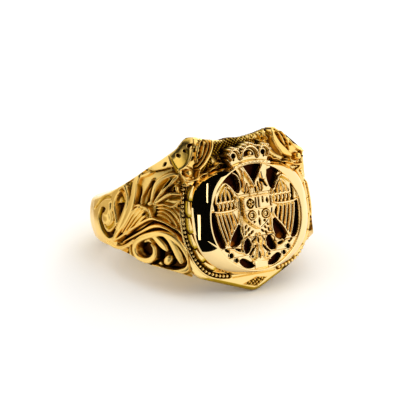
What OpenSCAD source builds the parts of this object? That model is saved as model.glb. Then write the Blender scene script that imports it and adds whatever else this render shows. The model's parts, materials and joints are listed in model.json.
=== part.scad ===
// Heavy gold signet ring with a cartouche bezel, a domed plaque and a raised double-headed eagle.
// Millimetres. The origin is the centre of the finger bore, +Z runs along the bore towards the
// crown, and the bezel faces -Y. Left and right are those of someone looking at the bezel.

/* [Finger band] */
// Radius of the finger bore
bore_r = 10; // [9.6:0.1:10.4]
// Thickness of the inner band
band_t = 1.4; // [1.2:0.1:1.6]
// Radius of the outer outline at the sides and the back
outer_r = 12.25; // [12.1:0.05:12.5]
// How far the outer outline is shifted towards the bezel
outer_shift = 0.35; // [0.2:0.05:0.45]
// Upper edge of the band at the back
back_top = 2.6; // [2.3:0.1:3]
// Lower edge of the band at the back
back_bottom = -2.2; // [-2.8:0.1:-2]

/* [Shoulders] */
// Radius of the long flare from the band to the bezel, seen from above
flare_r = 21; // [20:0.5:23]
// Radius of the upper edge's sweep, seen from the side
top_sweep_r = 30; // [29:0.5:32]
// Radius of the lower edge's sweep, seen from the side
bottom_sweep_r = 50; // [48:1:54]
// How far the carved ornament stands above the shoulder
carving_h = 0.45; // [0.3:0.05:0.5]

/* [Bezel] */
// Distance from the bore's axis to the front of the bezel frame
frame_front = 12.4; // [12.3:0.05:12.5]
// Radius of the bezel's rounded sides
side_r = 9; // [8.95:0.05:9.1]
// Height of the medallion's centre
centre_z = -1; // [-1.1:0.05:-0.9]
// Radius of the medallion recess
medal_r = 6.2; // [6.15:0.05:6.3]
// Distance from the bore's axis to the rim of the domed plaque
rim_front = 14.6; // [14.5:0.1:14.8]
// Pitch of the beaded border
bead_pitch = 0.52; // [0.5:0.02:0.7]

/* [Emblem] */
// Thickness of the eagle's relief
eagle_t = 0.9; // [0.7:0.05:1]
// Thickness of the breast shield
shield_t = 0.9; // [0.6:0.05:1]
// How far the crown stands in front of its panel
crown_t = 2.4; // [2.1:0.1:2.6]

/* [Hidden] */
$fn = 64;
band_r = bore_r + band_t;
frame_back = band_r;
ground_front = frame_front + 1.15;
relief_front = ground_front + eagle_t;
top_centre = [5.6, back_top + top_sweep_r];
bottom_centre = [9, back_bottom - bottom_sweep_r];
shoulder_end = 5.6;
far = 40;

// ---- helpers ----

// A flat shape in x and z, given thickness from y = -back to y = -front
module facing(back, front)
    translate([0, -back, 0])
        rotate([90, 0, 0])
            linear_extrude(front - back)
                children();

// A flat shape in y and z, carried right through along x on the left side only
module across_left()
    rotate([90, 0, 90])
        translate([0, 0, -far / 2])
            linear_extrude(far / 2)
                children();

// The same shape on the other side
module right_side()
    mirror([1, 0, 0])
        children();

// Straight strip between two points, with square ends
module strip(a, b, w) {
    d = b - a;
    translate(a)
        rotate(atan2(d[1], d[0]))
            translate([0, -w / 2])
                square([norm(d), w]);
}

// Straight bar between two points, with round ends
module bar(a, b, w) {
    strip(a, b, w);
    for (p = [a, b])
        translate(p)
            circle(d = w);
}

// ---- outlines ----

// Top view of the ring's outside, grown by g
module outer_outline(g = 0) {
    intersection() {
        translate([0, -outer_shift])
            circle(r = outer_r + g);
        translate([-far / 2, -outer_shift])
            square([far, far / 2]);
    }
    intersection() {
        for_side_arcs(g);
        translate([-far / 2, -frame_back])
            square([far, frame_back - outer_shift]);
    }
}

// The two long flares meet at the front
module for_side_arcs(g)
    intersection() {
        translate([flare_r - outer_r, -outer_shift])
            circle(r = flare_r + g);
        translate([outer_r - flare_r, -outer_shift])
            circle(r = flare_r + g);
    }

// Side view: the band widens towards the bezel along two arcs; inset narrows it
module side_profile(inset = 0)
    difference() {
        translate([-frame_front, -far / 4])
            square([far, far / 2]);
        translate(top_centre)
            circle(r = top_sweep_r + inset, $fn = 128);
        translate([top_centre[0], back_top - inset])
            square([far, far]);
        translate(bottom_centre)
            circle(r = bottom_sweep_r + inset, $fn = 128);
        translate([bottom_centre[0], back_bottom + inset - far])
            square([far, far]);
    }

// Front view of the bezel: rounded sides, a pointed foot and two ears at the top
module cartouche() {
    intersection() {
        translate([0, centre_z - 0.2])
            circle(r = side_r);
        translate([-side_r, centre_z - 6])
            square([2 * side_r, 12.5]);
    }
    polygon([[-7.4, centre_z - 5], [-7.3, -7], [-4, -8.6], [0, -9.8], [4, -8.6], [7.3, -7],
        [7.4, centre_z - 5], [7.9, 3], [8.4, 7.2], [7, 9.1], [4.2, 8.8], [2, 8.4],
        [-2, 8.4], [-4.2, 8.8], [-7, 9.1], [-8.4, 7.2], [-7.9, 3]]);
}

// ---- band and shoulders ----

module shank()
    color("goldenrod")
        intersection() {
            linear_extrude(far, center = true)
                difference() {
                    union() {
                        circle(r = band_r, $fn = 96);
                        intersection() {
                            outer_outline();
                            translate([-far / 2, shoulder_end])
                                square([far, far]);
                        }
                    }
                    circle(r = bore_r, $fn = 96);
                }
            rotate([90, 0, 90])
                linear_extrude(far, center = true)
                    side_profile();
        }

module left_shoulder()
    color("goldenrod")
        intersection() {
            linear_extrude(far, center = true)
                difference() {
                    outer_outline();
                    circle(r = band_r, $fn = 96);
                    translate([-2, -far / 2])
                        square([far, far]);
                    translate([-far / 2, shoulder_end])
                        square([far, far]);
                }
            across_left()
                side_profile();
        }

module right_shoulder()
    right_side()
        left_shoulder();

// Carving: whatever flat shape is given in y and z, raised on the left shoulder's outside
module carving(h)
    intersection() {
        linear_extrude(far, center = true)
            difference() {
                outer_outline(h);
                outer_outline();
            }
        across_left()
            intersection() {
                children();
                side_profile(0.1);
            }
    }

module left_scroll_frame()
    color("gold")
        carving(carving_h)
            difference() {
                translate([-7.5, -6.3])
                    circle(r = 5.1);
                translate([-7.5, -6.3])
                    circle(r = 4.6);
                translate([-7.5 - 4, -20])
                    square([40, 14]);
            }

module right_scroll_frame()
    right_side()
        left_scroll_frame();

module left_lower_volute()
    color("gold")
        carving(carving_h)
            difference() {
                translate([-7.2, -3.9])
                    circle(r = 1.25);
                translate([-7.2, -3.7])
                    circle(r = 0.6);
            }

module right_lower_volute()
    right_side()
        left_lower_volute();

module left_palmette()
    color("gold")
        carving(carving_h)
            for (a = [118 : 21 : 202])
                translate([-7.9, 1.9])
                    rotate(a)
                        translate([0.6, 0])
                            bar([0, 0], [1.9, 0], 0.62);

module right_palmette()
    right_side()
        left_palmette();

module left_lily()
    color("gold")
        carving(carving_h)
            polygon([[-2.2, -1.9], [-7.4, 1.1], [-7.1, 0.1], [-7.8, -0.3], [-6.8, -0.7]]);

module right_lily()
    right_side()
        left_lily();

module left_back_volute()
    color("gold")
        carving(carving_h)
            difference() {
                translate([-1.2, 0.9])
                    circle(r = 1.35);
                translate([-0.9, 0.8])
                    circle(r = 0.55);
            }

module right_back_volute()
    right_side()
        left_back_volute();

// Bevelled rail along the upper edge, drilled with holes that grow towards the ear
module left_pierced_rail()
    color("darkgoldenrod")
        carving(0.35)
            difference() {
                intersection() {
                    side_profile(0.15);
                    translate(top_centre)
                        circle(r = top_sweep_r + 1.3, $fn = 128);
                    translate([-11, 0])
                        square([7.6, 20]);
                }
                for (i = [0 : 3])
                    translate([-10.4 + i * 1.3, 6.35 - i * 0.52])
                        circle(r = 0.34 - i * 0.05);
            }

module right_pierced_rail()
    right_side()
        left_pierced_rail();

// ---- bezel ----

module bezel_frame()
    color("goldenrod")
        facing(frame_back, frame_front)
            cartouche();

// Beads in a row round one side of the bezel, on a narrow strip
module left_beaded_border() {
    from = 155;
    to = 222;
    r = side_r - 0.35;
    step = bead_pitch / r * 180 / PI;
    facing(frame_front, frame_front + 0.12)
        translate([0, centre_z])
            intersection() {
                difference() {
                    circle(r = r + 0.17, $fn = 96);
                    circle(r = r - 0.17, $fn = 96);
                }
                polygon([[0, 0], 14 * [cos(from), sin(from)], [-14, 0], 14 * [cos(to), sin(to)]]);
            }
    for (a = [from + step : step : to - step])
        translate([r * cos(a), -frame_front - 0.1, centre_z + r * sin(a)])
            rotate([90, 0, 0])
                cylinder(r1 = 0.2, r2 = 0.11, h = 0.2, $fn = 16);
}

module right_beaded_border()
    right_side()
        left_beaded_border();

// Scalloped edge inside the beads
module left_scallop_strip()
    color("gold")
        facing(frame_front, frame_front + 0.3)
            translate([0, centre_z])
                difference() {
                    intersection() {
                        circle(r = side_r - 0.6, $fn = 96);
                        polygon([[0, 0], 14 * [cos(155), sin(155)], [-14, 0], 14 * [cos(222), sin(222)]]);
                    }
                    circle(r = side_r - 1.05, $fn = 96);
                    for (a = [160 : 14 : 220])
                        rotate(a)
                            translate([side_r - 1.75, 0])
                                circle(r = 0.9);
                }

module right_scallop_strip()
    right_side()
        left_scallop_strip();

// The plaque swells from the frame up to the medallion's rim
module domed_plaque() {
    rise = rim_front - frame_front;
    flank = side_r - 1.1 - medal_r;
    color("khaki")
        intersection() {
            translate([0, -frame_front, centre_z])
                rotate([90, 0, 0])
                    rotate_extrude($fn = 96)
                        intersection() {
                            translate([medal_r, 0])
                                square([flank, rise]);
                            translate([medal_r - 0.3, 0])
                                circle(r = flank + 0.3);
                        }
            facing(frame_front, rim_front + 1)
                translate([-9, -7.75])
                    square([18, 13]);
        }
}

module medallion_ground()
    color("saddlebrown")
        facing(frame_front, ground_front)
            translate([0, centre_z])
                circle(r = medal_r - 0.02, $fn = 96);

// ---- emblem ----

module relief(t = eagle_t)
    facing(ground_front, ground_front + t)
        intersection() {
            children();
            translate([0, centre_z])
                circle(r = medal_r - 0.08, $fn = 96);
        }

module eagle_body()
    color("gold")
        relief()
            polygon([[-1.6, 2.2], [1.6, 2.2], [2.1, 1], [2.1, -1.4], [1.1, -3.2], [-1.1, -3.2],
                [-2.1, -1.4], [-2.1, 1]]);

module left_wing()
    color("gold")
        relief()
            difference() {
                union() {
                    polygon([[-2.15, 1.2], [-3.7, 3.5], [-4.8, 3], [-5.9, 1.6], [-5.9, 0], [-2.15, 0]]);
                    for (i = [0 : 4])
                        bar([-5.65 + i * 0.78, 0.2], [-5.9 + i * 0.5, -1.2] + (0.9 + i * 0.1) * [0.55, -2.6] * (1 - i * 0.13), 0.5);
                }
                for (i = [0 : 2])
                    translate([-4.9 + i * 0.9, 0.75])
                        circle(r = 0.26);
                translate([-2.12, -4])
                    square([3, 8]);
            }

module right_wing()
    right_side()
        left_wing();

module left_head()
    color("gold")
        relief() {
            polygon([[-0.1, 2.25], [-0.1, 3.1], [-1.2, 4.4], [-2.1, 4.2], [-1.5, 2.25]]);
            translate([-1.65, 4.35])
                circle(r = 0.62);
            polygon([[-1.7, 4.9], [-2.9, 4.2], [-1.9, 3.9]]);
        }

module right_head()
    right_side()
        left_head();

module tail()
    color("gold")
        relief()
            for (x = [-0.9, 0, 0.9])
                bar([x * 0.25, -3.55], [x, -6.3], 0.62);

module left_claw()
    color("gold")
        relief() {
            bar([-1.5, -3.55], [-2.1, -4.5], 0.5);
            for (a = [200 : 50 : 300])
                strip([-2.1, -4.5], [-2.1, -4.5] + 0.7 * [cos(a), sin(a)], 0.28);
        }

module right_claw()
    right_side()
        left_claw();

// Shield on the breast, quartered by sunk lines, with two rings
module breast_shield()
    color("palegoldenrod")
        difference() {
            facing(relief_front, relief_front + shield_t)
                polygon([[-2.15, 1.6], [2.15, 1.6], [2.15, -0.6], [1.5, -1.8], [0, -2.6],
                    [-1.5, -1.8], [-2.15, -0.6]]);
            facing(relief_front + shield_t - 0.25, relief_front + shield_t + 1) {
                square([0.2, 8], center = true);
                square([8, 0.2], center = true);
                for (x = [-1, 1])
                    translate([x, -0.85])
                        difference() {
                            circle(r = 0.55);
                            circle(r = 0.28);
                        }
            }
        }

// Closed crown: a band, three arches and a ball
module crown()
    color("gold")
        facing(frame_front + 0.25, frame_front + 0.25 + crown_t) {
            difference() {
                polygon([[-2.3, 5.3], [2.3, 5.3], [2.6, 6.9], [1.6, 7.5], [-1.6, 7.5], [-2.6, 6.9]]);
                for (x = [-1.5, 0, 1.5])
                    translate([x, 6.5])
                        circle(r = 0.5);
            }
            translate([0, 7.6])
                circle(r = 0.42);
        }

// Three hollow beads on the medallion's lower rim
module left_rim_beads()
    color("gold")
        relief(0.7)
            translate([0, centre_z])
                for (a = [222 : 10 : 242])
                    rotate(a)
                        translate([5.55, 0])
                            difference() {
                                circle(r = 0.52);
                                circle(r = 0.24);
                            }

module right_rim_beads()
    right_side()
        left_rim_beads();

// Sunk ground behind the crown, between the ears
module chief_panel()
    color("saddlebrown")
        facing(frame_front, frame_front + 0.25)
            polygon([[-4.3, 5.3], [4.3, 5.3], [2.8, 8.3], [-2.8, 8.3]]);

// Ears: the top corners of the cartouche rolled forward, hollow in the middle
module left_ear_scroll()
    color("gold")
        intersection() {
            translate([-4.3, -frame_front - 0.35, 8.15])
                rotate([0, -128.5, 0])
                    difference() {
                        cylinder(r = 1, h = 4.4);
                        translate([0, 0, 2.4])
                            cylinder(r = 0.45, h = 3);
                    }
            translate([-far / 2, -frame_front - far, -far / 2])
                cube([far, far, far]);
        }

module right_ear_scroll()
    right_side()
        left_ear_scroll();

// Granulated lozenge at the foot of the bezel
module tip_panel()
    color("darkgoldenrod") {
        facing(frame_front, frame_front + 0.15)
            polygon([[-1.5, -8.5], [0, -7.95], [1.5, -8.5], [0, -9.35]]);
        for (x = [-0.9 : 0.45 : 0.9])
            for (z = [-8.75, -8.4])
                translate([x, -frame_front - 0.14, z])
                    rotate([90, 0, 0])
                        cylinder(r1 = 0.17, r2 = 0.09, h = 0.16, $fn = 16);
    }

shank();
left_shoulder();
right_shoulder();
left_scroll_frame();
right_scroll_frame();
left_lower_volute();
right_lower_volute();
left_palmette();
right_palmette();
left_lily();
right_lily();
left_back_volute();
right_back_volute();
left_pierced_rail();
right_pierced_rail();
bezel_frame();
left_beaded_border();
right_beaded_border();
left_scallop_strip();
right_scallop_strip();
domed_plaque();
medallion_ground();
eagle_body();
left_wing();
right_wing();
left_head();
right_head();
tail();
left_claw();
right_claw();
breast_shield();
crown();
left_rim_beads();
right_rim_beads();
chief_panel();
left_ear_scroll();
right_ear_scroll();
tip_panel();
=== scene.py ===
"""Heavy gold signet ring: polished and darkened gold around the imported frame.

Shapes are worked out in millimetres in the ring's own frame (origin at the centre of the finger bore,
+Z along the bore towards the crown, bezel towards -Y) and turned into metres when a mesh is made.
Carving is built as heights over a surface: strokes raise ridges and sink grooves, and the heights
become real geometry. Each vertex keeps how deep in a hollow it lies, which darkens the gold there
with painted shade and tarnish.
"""
import json

import bpy
import numpy as np
from mathutils import Matrix, Vector


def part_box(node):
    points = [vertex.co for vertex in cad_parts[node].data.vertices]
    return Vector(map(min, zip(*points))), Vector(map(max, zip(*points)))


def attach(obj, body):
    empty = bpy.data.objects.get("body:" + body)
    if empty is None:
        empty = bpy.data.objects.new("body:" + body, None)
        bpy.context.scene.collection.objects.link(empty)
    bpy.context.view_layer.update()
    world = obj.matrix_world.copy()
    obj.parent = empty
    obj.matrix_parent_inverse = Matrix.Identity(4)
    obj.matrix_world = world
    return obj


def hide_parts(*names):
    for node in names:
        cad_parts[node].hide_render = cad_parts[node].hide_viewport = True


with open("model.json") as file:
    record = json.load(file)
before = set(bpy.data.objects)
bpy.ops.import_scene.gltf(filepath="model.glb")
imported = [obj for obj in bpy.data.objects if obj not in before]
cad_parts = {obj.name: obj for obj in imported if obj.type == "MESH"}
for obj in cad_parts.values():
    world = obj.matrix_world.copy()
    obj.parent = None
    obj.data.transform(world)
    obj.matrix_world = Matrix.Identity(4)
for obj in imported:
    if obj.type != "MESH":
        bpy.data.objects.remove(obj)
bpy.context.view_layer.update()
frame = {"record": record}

MM = 0.001

# ---------------------------------------------------------------- driving dimensions, millimetres
BORE_R = frame["record"]["mounts"][0]["dims"]["r_mm"]
BAND_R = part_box("shank")[0].y / -MM
OUTER_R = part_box("left_shoulder")[0].x / -MM
OUTER_SHIFT = 0.35
FLARE_R = 21.0
BACK_TOP = 2.6
BACK_BOTTOM = -2.2
TOP_SWEEP_R, TOP_SWEEP_Y = 30.0, 5.6
BOTTOM_SWEEP_R, BOTTOM_SWEEP_Y = 50.0, 9.0
FRAME_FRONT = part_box("bezel_frame")[0].y / -MM
FRAME_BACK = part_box("bezel_frame")[1].y / -MM
MEDAL_Z = -1.0
MEDAL_R = 6.2
RIM_FRONT = 14.6
GROUND_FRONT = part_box("medallion_ground")[0].y / -MM
SHIELD_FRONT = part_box("breast_shield")[0].y / -MM


# ---------------------------------------------------------------- small maths
def smoothstep(x, lo, hi):
    t = np.clip((x - lo) / (hi - lo), 0, 1)
    return t * t * (3 - 2 * t)


def spline(points, per=8, closed=False):
    """Catmull-Rom curve through rows of numbers; every column is carried along."""
    p = np.array(points, float)
    if len(p) == 2 and not closed:
        t = np.linspace(0, 1, per + 1)[:, None]
        return p[0] + (p[1] - p[0]) * t
    ends = (p[-1:], p[:2]) if closed else (2 * p[:1] - p[1:2], 2 * p[-1:] - p[-2:-1])
    q = np.vstack([ends[0], p, ends[1]])
    t = np.linspace(0, 1, per, endpoint=False)[:, None]
    runs = []
    for a, b, c, d in zip(q[:-3], q[1:-2], q[2:-1], q[3:]):
        cubic = (3 * b - a - 3 * c + d) * t**3
        runs.append(0.5 * (2 * b + (c - a) * t + (2 * a - 5 * b + 4 * c - d) * t**2 + cubic))
    if not closed:
        runs.append(p[-1:])
    return np.vstack(runs)


def closest(curve, u, v):
    """Distance from points (u, v) to a curve, and the curve's third column at the nearest spot."""
    best = np.full(u.shape, 1e9)
    carried = np.zeros(u.shape)
    for p, q in zip(curve[:-1], curve[1:]):
        d = q - p
        t = np.clip(((u - p[0]) * d[0] + (v - p[1]) * d[1]) / max(d[0] ** 2 + d[1] ** 2, 1e-12), 0, 1)
        r = np.hypot(u - p[0] - t * d[0], v - p[1] - t * d[1])
        nearer = r < best
        best[nearer] = r[nearer]
        if curve.shape[1] > 2:
            carried[nearer] = (p[2] + t * d[2])[nearer]
    return best, carried


def inside(polygon, u, v):
    """True for the points that lie in a closed polygon."""
    hit = np.zeros(u.shape, bool)
    for p, q in zip(polygon, np.roll(polygon, -1, axis=0)):
        if p[1] != q[1]:
            cross = (q[0] - p[0]) * (v - p[1]) / (q[1] - p[1]) + p[0]
            hit ^= ((p[1] > v) != (q[1] > v)) & (u < cross)
    return hit


def blurred(h, times, wrap=False):
    """Heights averaged with their neighbours, times times."""
    for _ in range(times):
        p = np.pad(h, ((1, 1), (0, 0)), mode="wrap" if wrap else "edge")
        h = (p[:-2] + 2 * p[1:-1] + p[2:]) / 4
        p = np.pad(h, ((0, 0), (1, 1)), mode="edge")
        h = (p[:, :-2] + 2 * p[:, 1:-1] + p[:, 2:]) / 4
    return h


def arc(centre, r, start, end, width, n=9):
    """Points round part of a circle, from start to end in degrees, with a stroke width."""
    a = np.radians(np.linspace(start, end, n))
    return [(centre[0] + r * np.cos(x), centre[1] + r * np.sin(x), width) for x in a]


def dash(x, z, lean, reach, end_width, width):
    """A short straight stroke with its middle at (x, z), leaning by an angle in degrees."""
    dx, dz = reach * np.cos(np.radians(lean)), reach * np.sin(np.radians(lean))
    return [(x - dx, z - dz, end_width), (x, z, width), (x + dx, z + dz, end_width)]


def arch(half):
    """A row across the middle, made from its right half, which starts in the middle."""
    return [(-x, *rest) for x, *rest in half[:0:-1]] + half


def ring(half):
    """A closed outline, made from its right half, which starts and ends in the middle."""
    return half + [(-x, *rest) for x, *rest in half[-2:0:-1]]


def punched(u, v, fine, sway, waves):
    """Rows of grains that wander a little: 1 on top of a grain, below 0 in the gaps."""
    return np.sin(v * fine + sway * np.sin(waves[0] * u)) * np.sin(u * fine + sway * np.cos(waves[1] * v))


# ---------------------------------------------------------------- relief
DOME = 2.8  # 2 is a ball, more is flatter on top


class Relief:
    """Heights over flat coordinates u and v, with a darkening of painted shade and tarnish in the hollows.

    Strokes are rows of (u, v, width); outlines are rows of (u, v).
    """

    def __init__(self, u, v, ground):
        self.u, self.v, self.ground = u, v, ground
        self.h = np.full(u.shape, float(ground))
        self.shade_and_tarnish = np.zeros(u.shape)
        self.side = 1

    def both_sides(self):
        """Strokes in a loop over this are made mirrored in u, on the left, and then as they are given."""
        for self.side in (-1, 1):
            yield self.side

    def sided(self, points):
        return [(self.side * p[0], *p[1:]) for p in points]

    def near(self, points, reach):
        p = np.asarray(points)[:, :2]
        lo, hi = p.min(0) - reach, p.max(0) + reach
        return np.nonzero((self.u > lo[0]) & (self.u < hi[0]) & (self.v > lo[1]) & (self.v < hi[1]))

    def stroke(self, points, closed, reach):
        """Cells near a curve, and how far each lies from it as a share of half the stroke's width."""
        curve = spline(self.sided(points), closed=closed)
        if closed:
            curve = np.vstack([curve, curve[:1]])
        i = self.near(curve, curve[:, 2].max() / 2 + reach)
        r, w = closest(curve, self.u[i], self.v[i])
        return i, r, np.maximum(w / 2, 0.01)

    def ridge(self, points, top, base=None, moat=0.0, closed=False):
        """A rib along a curve, flatter the broader it is. A moat first clears its sides to the base and
        darkens them with painted shade and tarnish.
        """
        base = self.ground if base is None else base
        i, r, w = self.stroke(points, closed, moat + 0.05)
        x = r / w
        h = self.h[i]
        if moat:
            beside = r < w + moat
            h = np.where(beside, np.minimum(h, base), h)
            self.shade_and_tarnish[i] = np.where(beside, np.maximum(self.shade_and_tarnish[i], 0.75), self.shade_and_tarnish[i])
        lift = base + (top - base) * np.sqrt(np.clip(1 - x ** (2 + 6 * w), 0, 1))
        self.h[i] = np.where(x < 1, np.maximum(h, lift), h)
        self.shade_and_tarnish[i] *= smoothstep(x, 0.6, 1.0)

    def groove(self, points, depth, shade_and_tarnish=None, closed=False):
        """A rounded channel cut along a curve, darkened inside with painted shade and tarnish."""
        shade_and_tarnish = min(1.0, 1.6 * depth) if shade_and_tarnish is None else shade_and_tarnish
        i, r, w = self.stroke(points, closed, 0)
        x = np.clip(1 - (r / w) ** 2, 0, 1)
        self.h[i] -= depth * x
        self.shade_and_tarnish[i] = np.maximum(self.shade_and_tarnish[i], shade_and_tarnish * np.sqrt(x))

    def depth_inside(self, outline, smooth):
        outline = self.sided(outline)
        curve = spline(outline, closed=True) if smooth else np.array(outline, float)
        i = self.near(curve, 0.05)
        depth, _ = closest(np.vstack([curve, curve[:1]]), self.u[i], self.v[i])
        depth[~inside(curve[:, :2], self.u[i], self.v[i])] = 0
        return i, depth

    def plate(self, outline, top, bevel=0.12, base=None, smooth=True):
        """A flat field with rounded edges inside a closed outline."""
        base = self.ground if base is None else base
        i, depth = self.depth_inside(outline, smooth)
        x = np.clip(depth / bevel, 0, 1)
        lift = base + (top - base) * np.sqrt(1 - (1 - x) ** 2)
        self.h[i] = np.where(x > 0, np.maximum(self.h[i], lift), self.h[i])
        self.shade_and_tarnish[i] *= 1 - x

    def sink(self, outline, bottom, wall=0.12, shade_and_tarnish=1.0):
        """A sunk field with steep walls inside a closed smooth outline, darkened with painted shade and
        tarnish.
        """
        i, depth = self.depth_inside(outline, smooth=True)
        x = smoothstep(depth, 0, wall)
        self.h[i] = self.h[i] * (1 - x) + np.minimum(self.h[i], bottom) * x
        self.shade_and_tarnish[i] = np.maximum(self.shade_and_tarnish[i], shade_and_tarnish * smoothstep(depth, 0, 0.4 * wall))

    def drill(self, centre, r, bottom, wall=0.08):
        """A round hole."""
        self.sink(arc(centre, r, 0, 315, 0, n=8), bottom, wall)

    def bump(self, centre, ru, rv, top, angle=0.0, base=None, moat=0.0):
        """An oval dome. A moat first clears its sides and darkens them with painted shade and tarnish."""
        centre = (self.side * centre[0], centre[1])
        base = self.ground if base is None else base
        i = self.near([centre], max(ru, rv) + moat)
        c, s = np.cos(np.radians(angle)), np.sin(np.radians(angle))
        du, dv = self.u[i] - centre[0], self.v[i] - centre[1]
        x = np.hypot((du * c + dv * s) / ru, (-du * s + dv * c) / rv)
        h = self.h[i]
        if moat:
            beside = x < 1 + moat / max(ru, rv)
            h = np.where(beside, np.minimum(h, base), h)
            self.shade_and_tarnish[i] = np.where(beside, np.maximum(self.shade_and_tarnish[i], 0.8), self.shade_and_tarnish[i])
        lift = base + (top - base) * np.sqrt(np.clip(1 - x**DOME, 0, 1))
        self.h[i] = np.where(x < 1, np.maximum(h, lift), h)
        self.shade_and_tarnish[i] *= smoothstep(x, 0.5, 1.0)

    def hollowness(self, near=6, wide=20, gain=2.2, wrap=False):
        """0 on ridges, rising to 1 in narrow or deep hollows and where painted shade and tarnish were laid.
        """
        dip = (blurred(self.h, near, wrap) - self.h) + 0.8 * (blurred(self.h, wide * 3, wrap) - self.h)
        return np.clip(gain * dip + blurred(self.shade_and_tarnish, 1, wrap), 0, 1)


# ---------------------------------------------------------------- meshes
def new_mesh(name, verts, faces, material, hollow):
    """A smooth-shaded object from points in millimetres; hollow says how deep each lies in a hollow."""
    mesh = bpy.data.meshes.new(name)
    mesh.from_pydata(verts * MM, [], faces)
    mesh.validate()
    mesh.shade_smooth()
    layer = mesh.attributes.new("hollow", "FLOAT", "POINT")
    layer.data.foreach_set("value", np.asarray(hollow, np.float32).ravel())
    mesh.materials.append(material)
    obj = bpy.data.objects.new(name, mesh)
    bpy.context.collection.objects.link(obj)
    return obj


def piece(obj, slot, *nodes):
    """Ties a finished piece to the ring and hides the CAD nodes it stands for."""
    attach(obj, "root")
    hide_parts(*nodes)


def grid_faces(rows, cols, wrap_rows=False, wrap_cols=False):
    """Four-cornered faces between neighbouring points of a grid."""
    i = np.arange(rows if wrap_rows else rows - 1)
    j = np.arange(cols if wrap_cols else cols - 1)
    a, b = np.meshgrid(i, j, indexing="ij")
    a2, b2 = (a + 1) % rows, (b + 1) % cols
    quads = np.stack([a * cols + b, a2 * cols + b, a2 * cols + b2, a * cols + b2], -1)
    return quads.reshape(-1, 4)


def tube_of_rings(name, rings, material, hollow, wrap=True, flip=False):
    """A closed skin through a stack of closed rings; an open stack gets a cap at each end."""
    n, m = rings.shape[:2]
    faces = grid_faces(n, m, wrap_rows=wrap, wrap_cols=True).tolist()
    if not wrap:
        faces += [list(range(m))[::-1], [(n - 1) * m + j for j in range(m)]]
    if flip:
        faces = [f[::-1] for f in faces]
    return new_mesh(name, rings.reshape(-1, 3), faces, material, hollow)


def relief_solid(name, relief, place, floor, material, hollow, cut=0.03, inset=False, flip=False):
    """A closed solid under the part of a relief on a regular grid that stands above its ground."""
    n, m = relief.h.shape
    high = relief.h > relief.ground + cut
    corner_highs = high[:-1, :-1], high[1:, :-1], high[:-1, 1:], high[1:, 1:]
    cell = np.all(corner_highs, 0) if inset else np.any(corner_highs, 0)
    used = np.zeros((n, m), bool)
    for a, b in ((0, 0), (1, 0), (0, 1), (1, 1)):
        used[a : n - 1 + a, b : m - 1 + b] |= cell
    index = np.full((n, m), -1)
    count = int(used.sum())
    index[used] = np.arange(count)
    top = place(relief.u, relief.v, relief.h)[used]
    bottom = place(relief.u, relief.v, np.full((n, m), floor))[used]
    i, j = np.nonzero(cell)
    corners = np.stack([index[i, j], index[i + 1, j], index[i + 1, j + 1], index[i, j + 1]], -1)
    # a wall wherever the next cell is missing
    walls = []
    padded = np.pad(cell, 1)
    for di, dj, a, b in ((-1, 0, 3, 0), (1, 0, 1, 2), (0, -1, 0, 1), (0, 1, 2, 3)):
        edge = ~padded[i + 1 + di, j + 1 + dj]
        p, q = corners[edge, a], corners[edge, b]
        walls.append(np.stack([q, p, p + count, q + count], -1))
    faces = np.vstack([corners, corners[:, ::-1] + count, *walls])
    faces = faces[:, ::-1] if flip else faces
    # the hidden underside is fully dark and the walls darken towards it: painted shade
    values = np.concatenate([hollow[used], np.ones(count)])
    return new_mesh(name, np.vstack([top, bottom]), faces.tolist(), material, values)


def facing(u, v, h):
    """Flat coordinates seen from the front, with height towards the viewer."""
    return np.stack([u, -h, v], -1)


def field(u0, u1, v0, v1, ground, step=0.05):
    """A flat relief on a square grid."""
    u, v = np.meshgrid(np.arange(u0, u1 + step, step), np.arange(v0, v1 + step, step), indexing="ij")
    return Relief(u, v, ground)


# ---------------------------------------------------------------- materials
PATINA_CLOUD, PATINA_SHARE = 420.0, 0.16
BUMP_DEPTH = 0.00006


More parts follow.
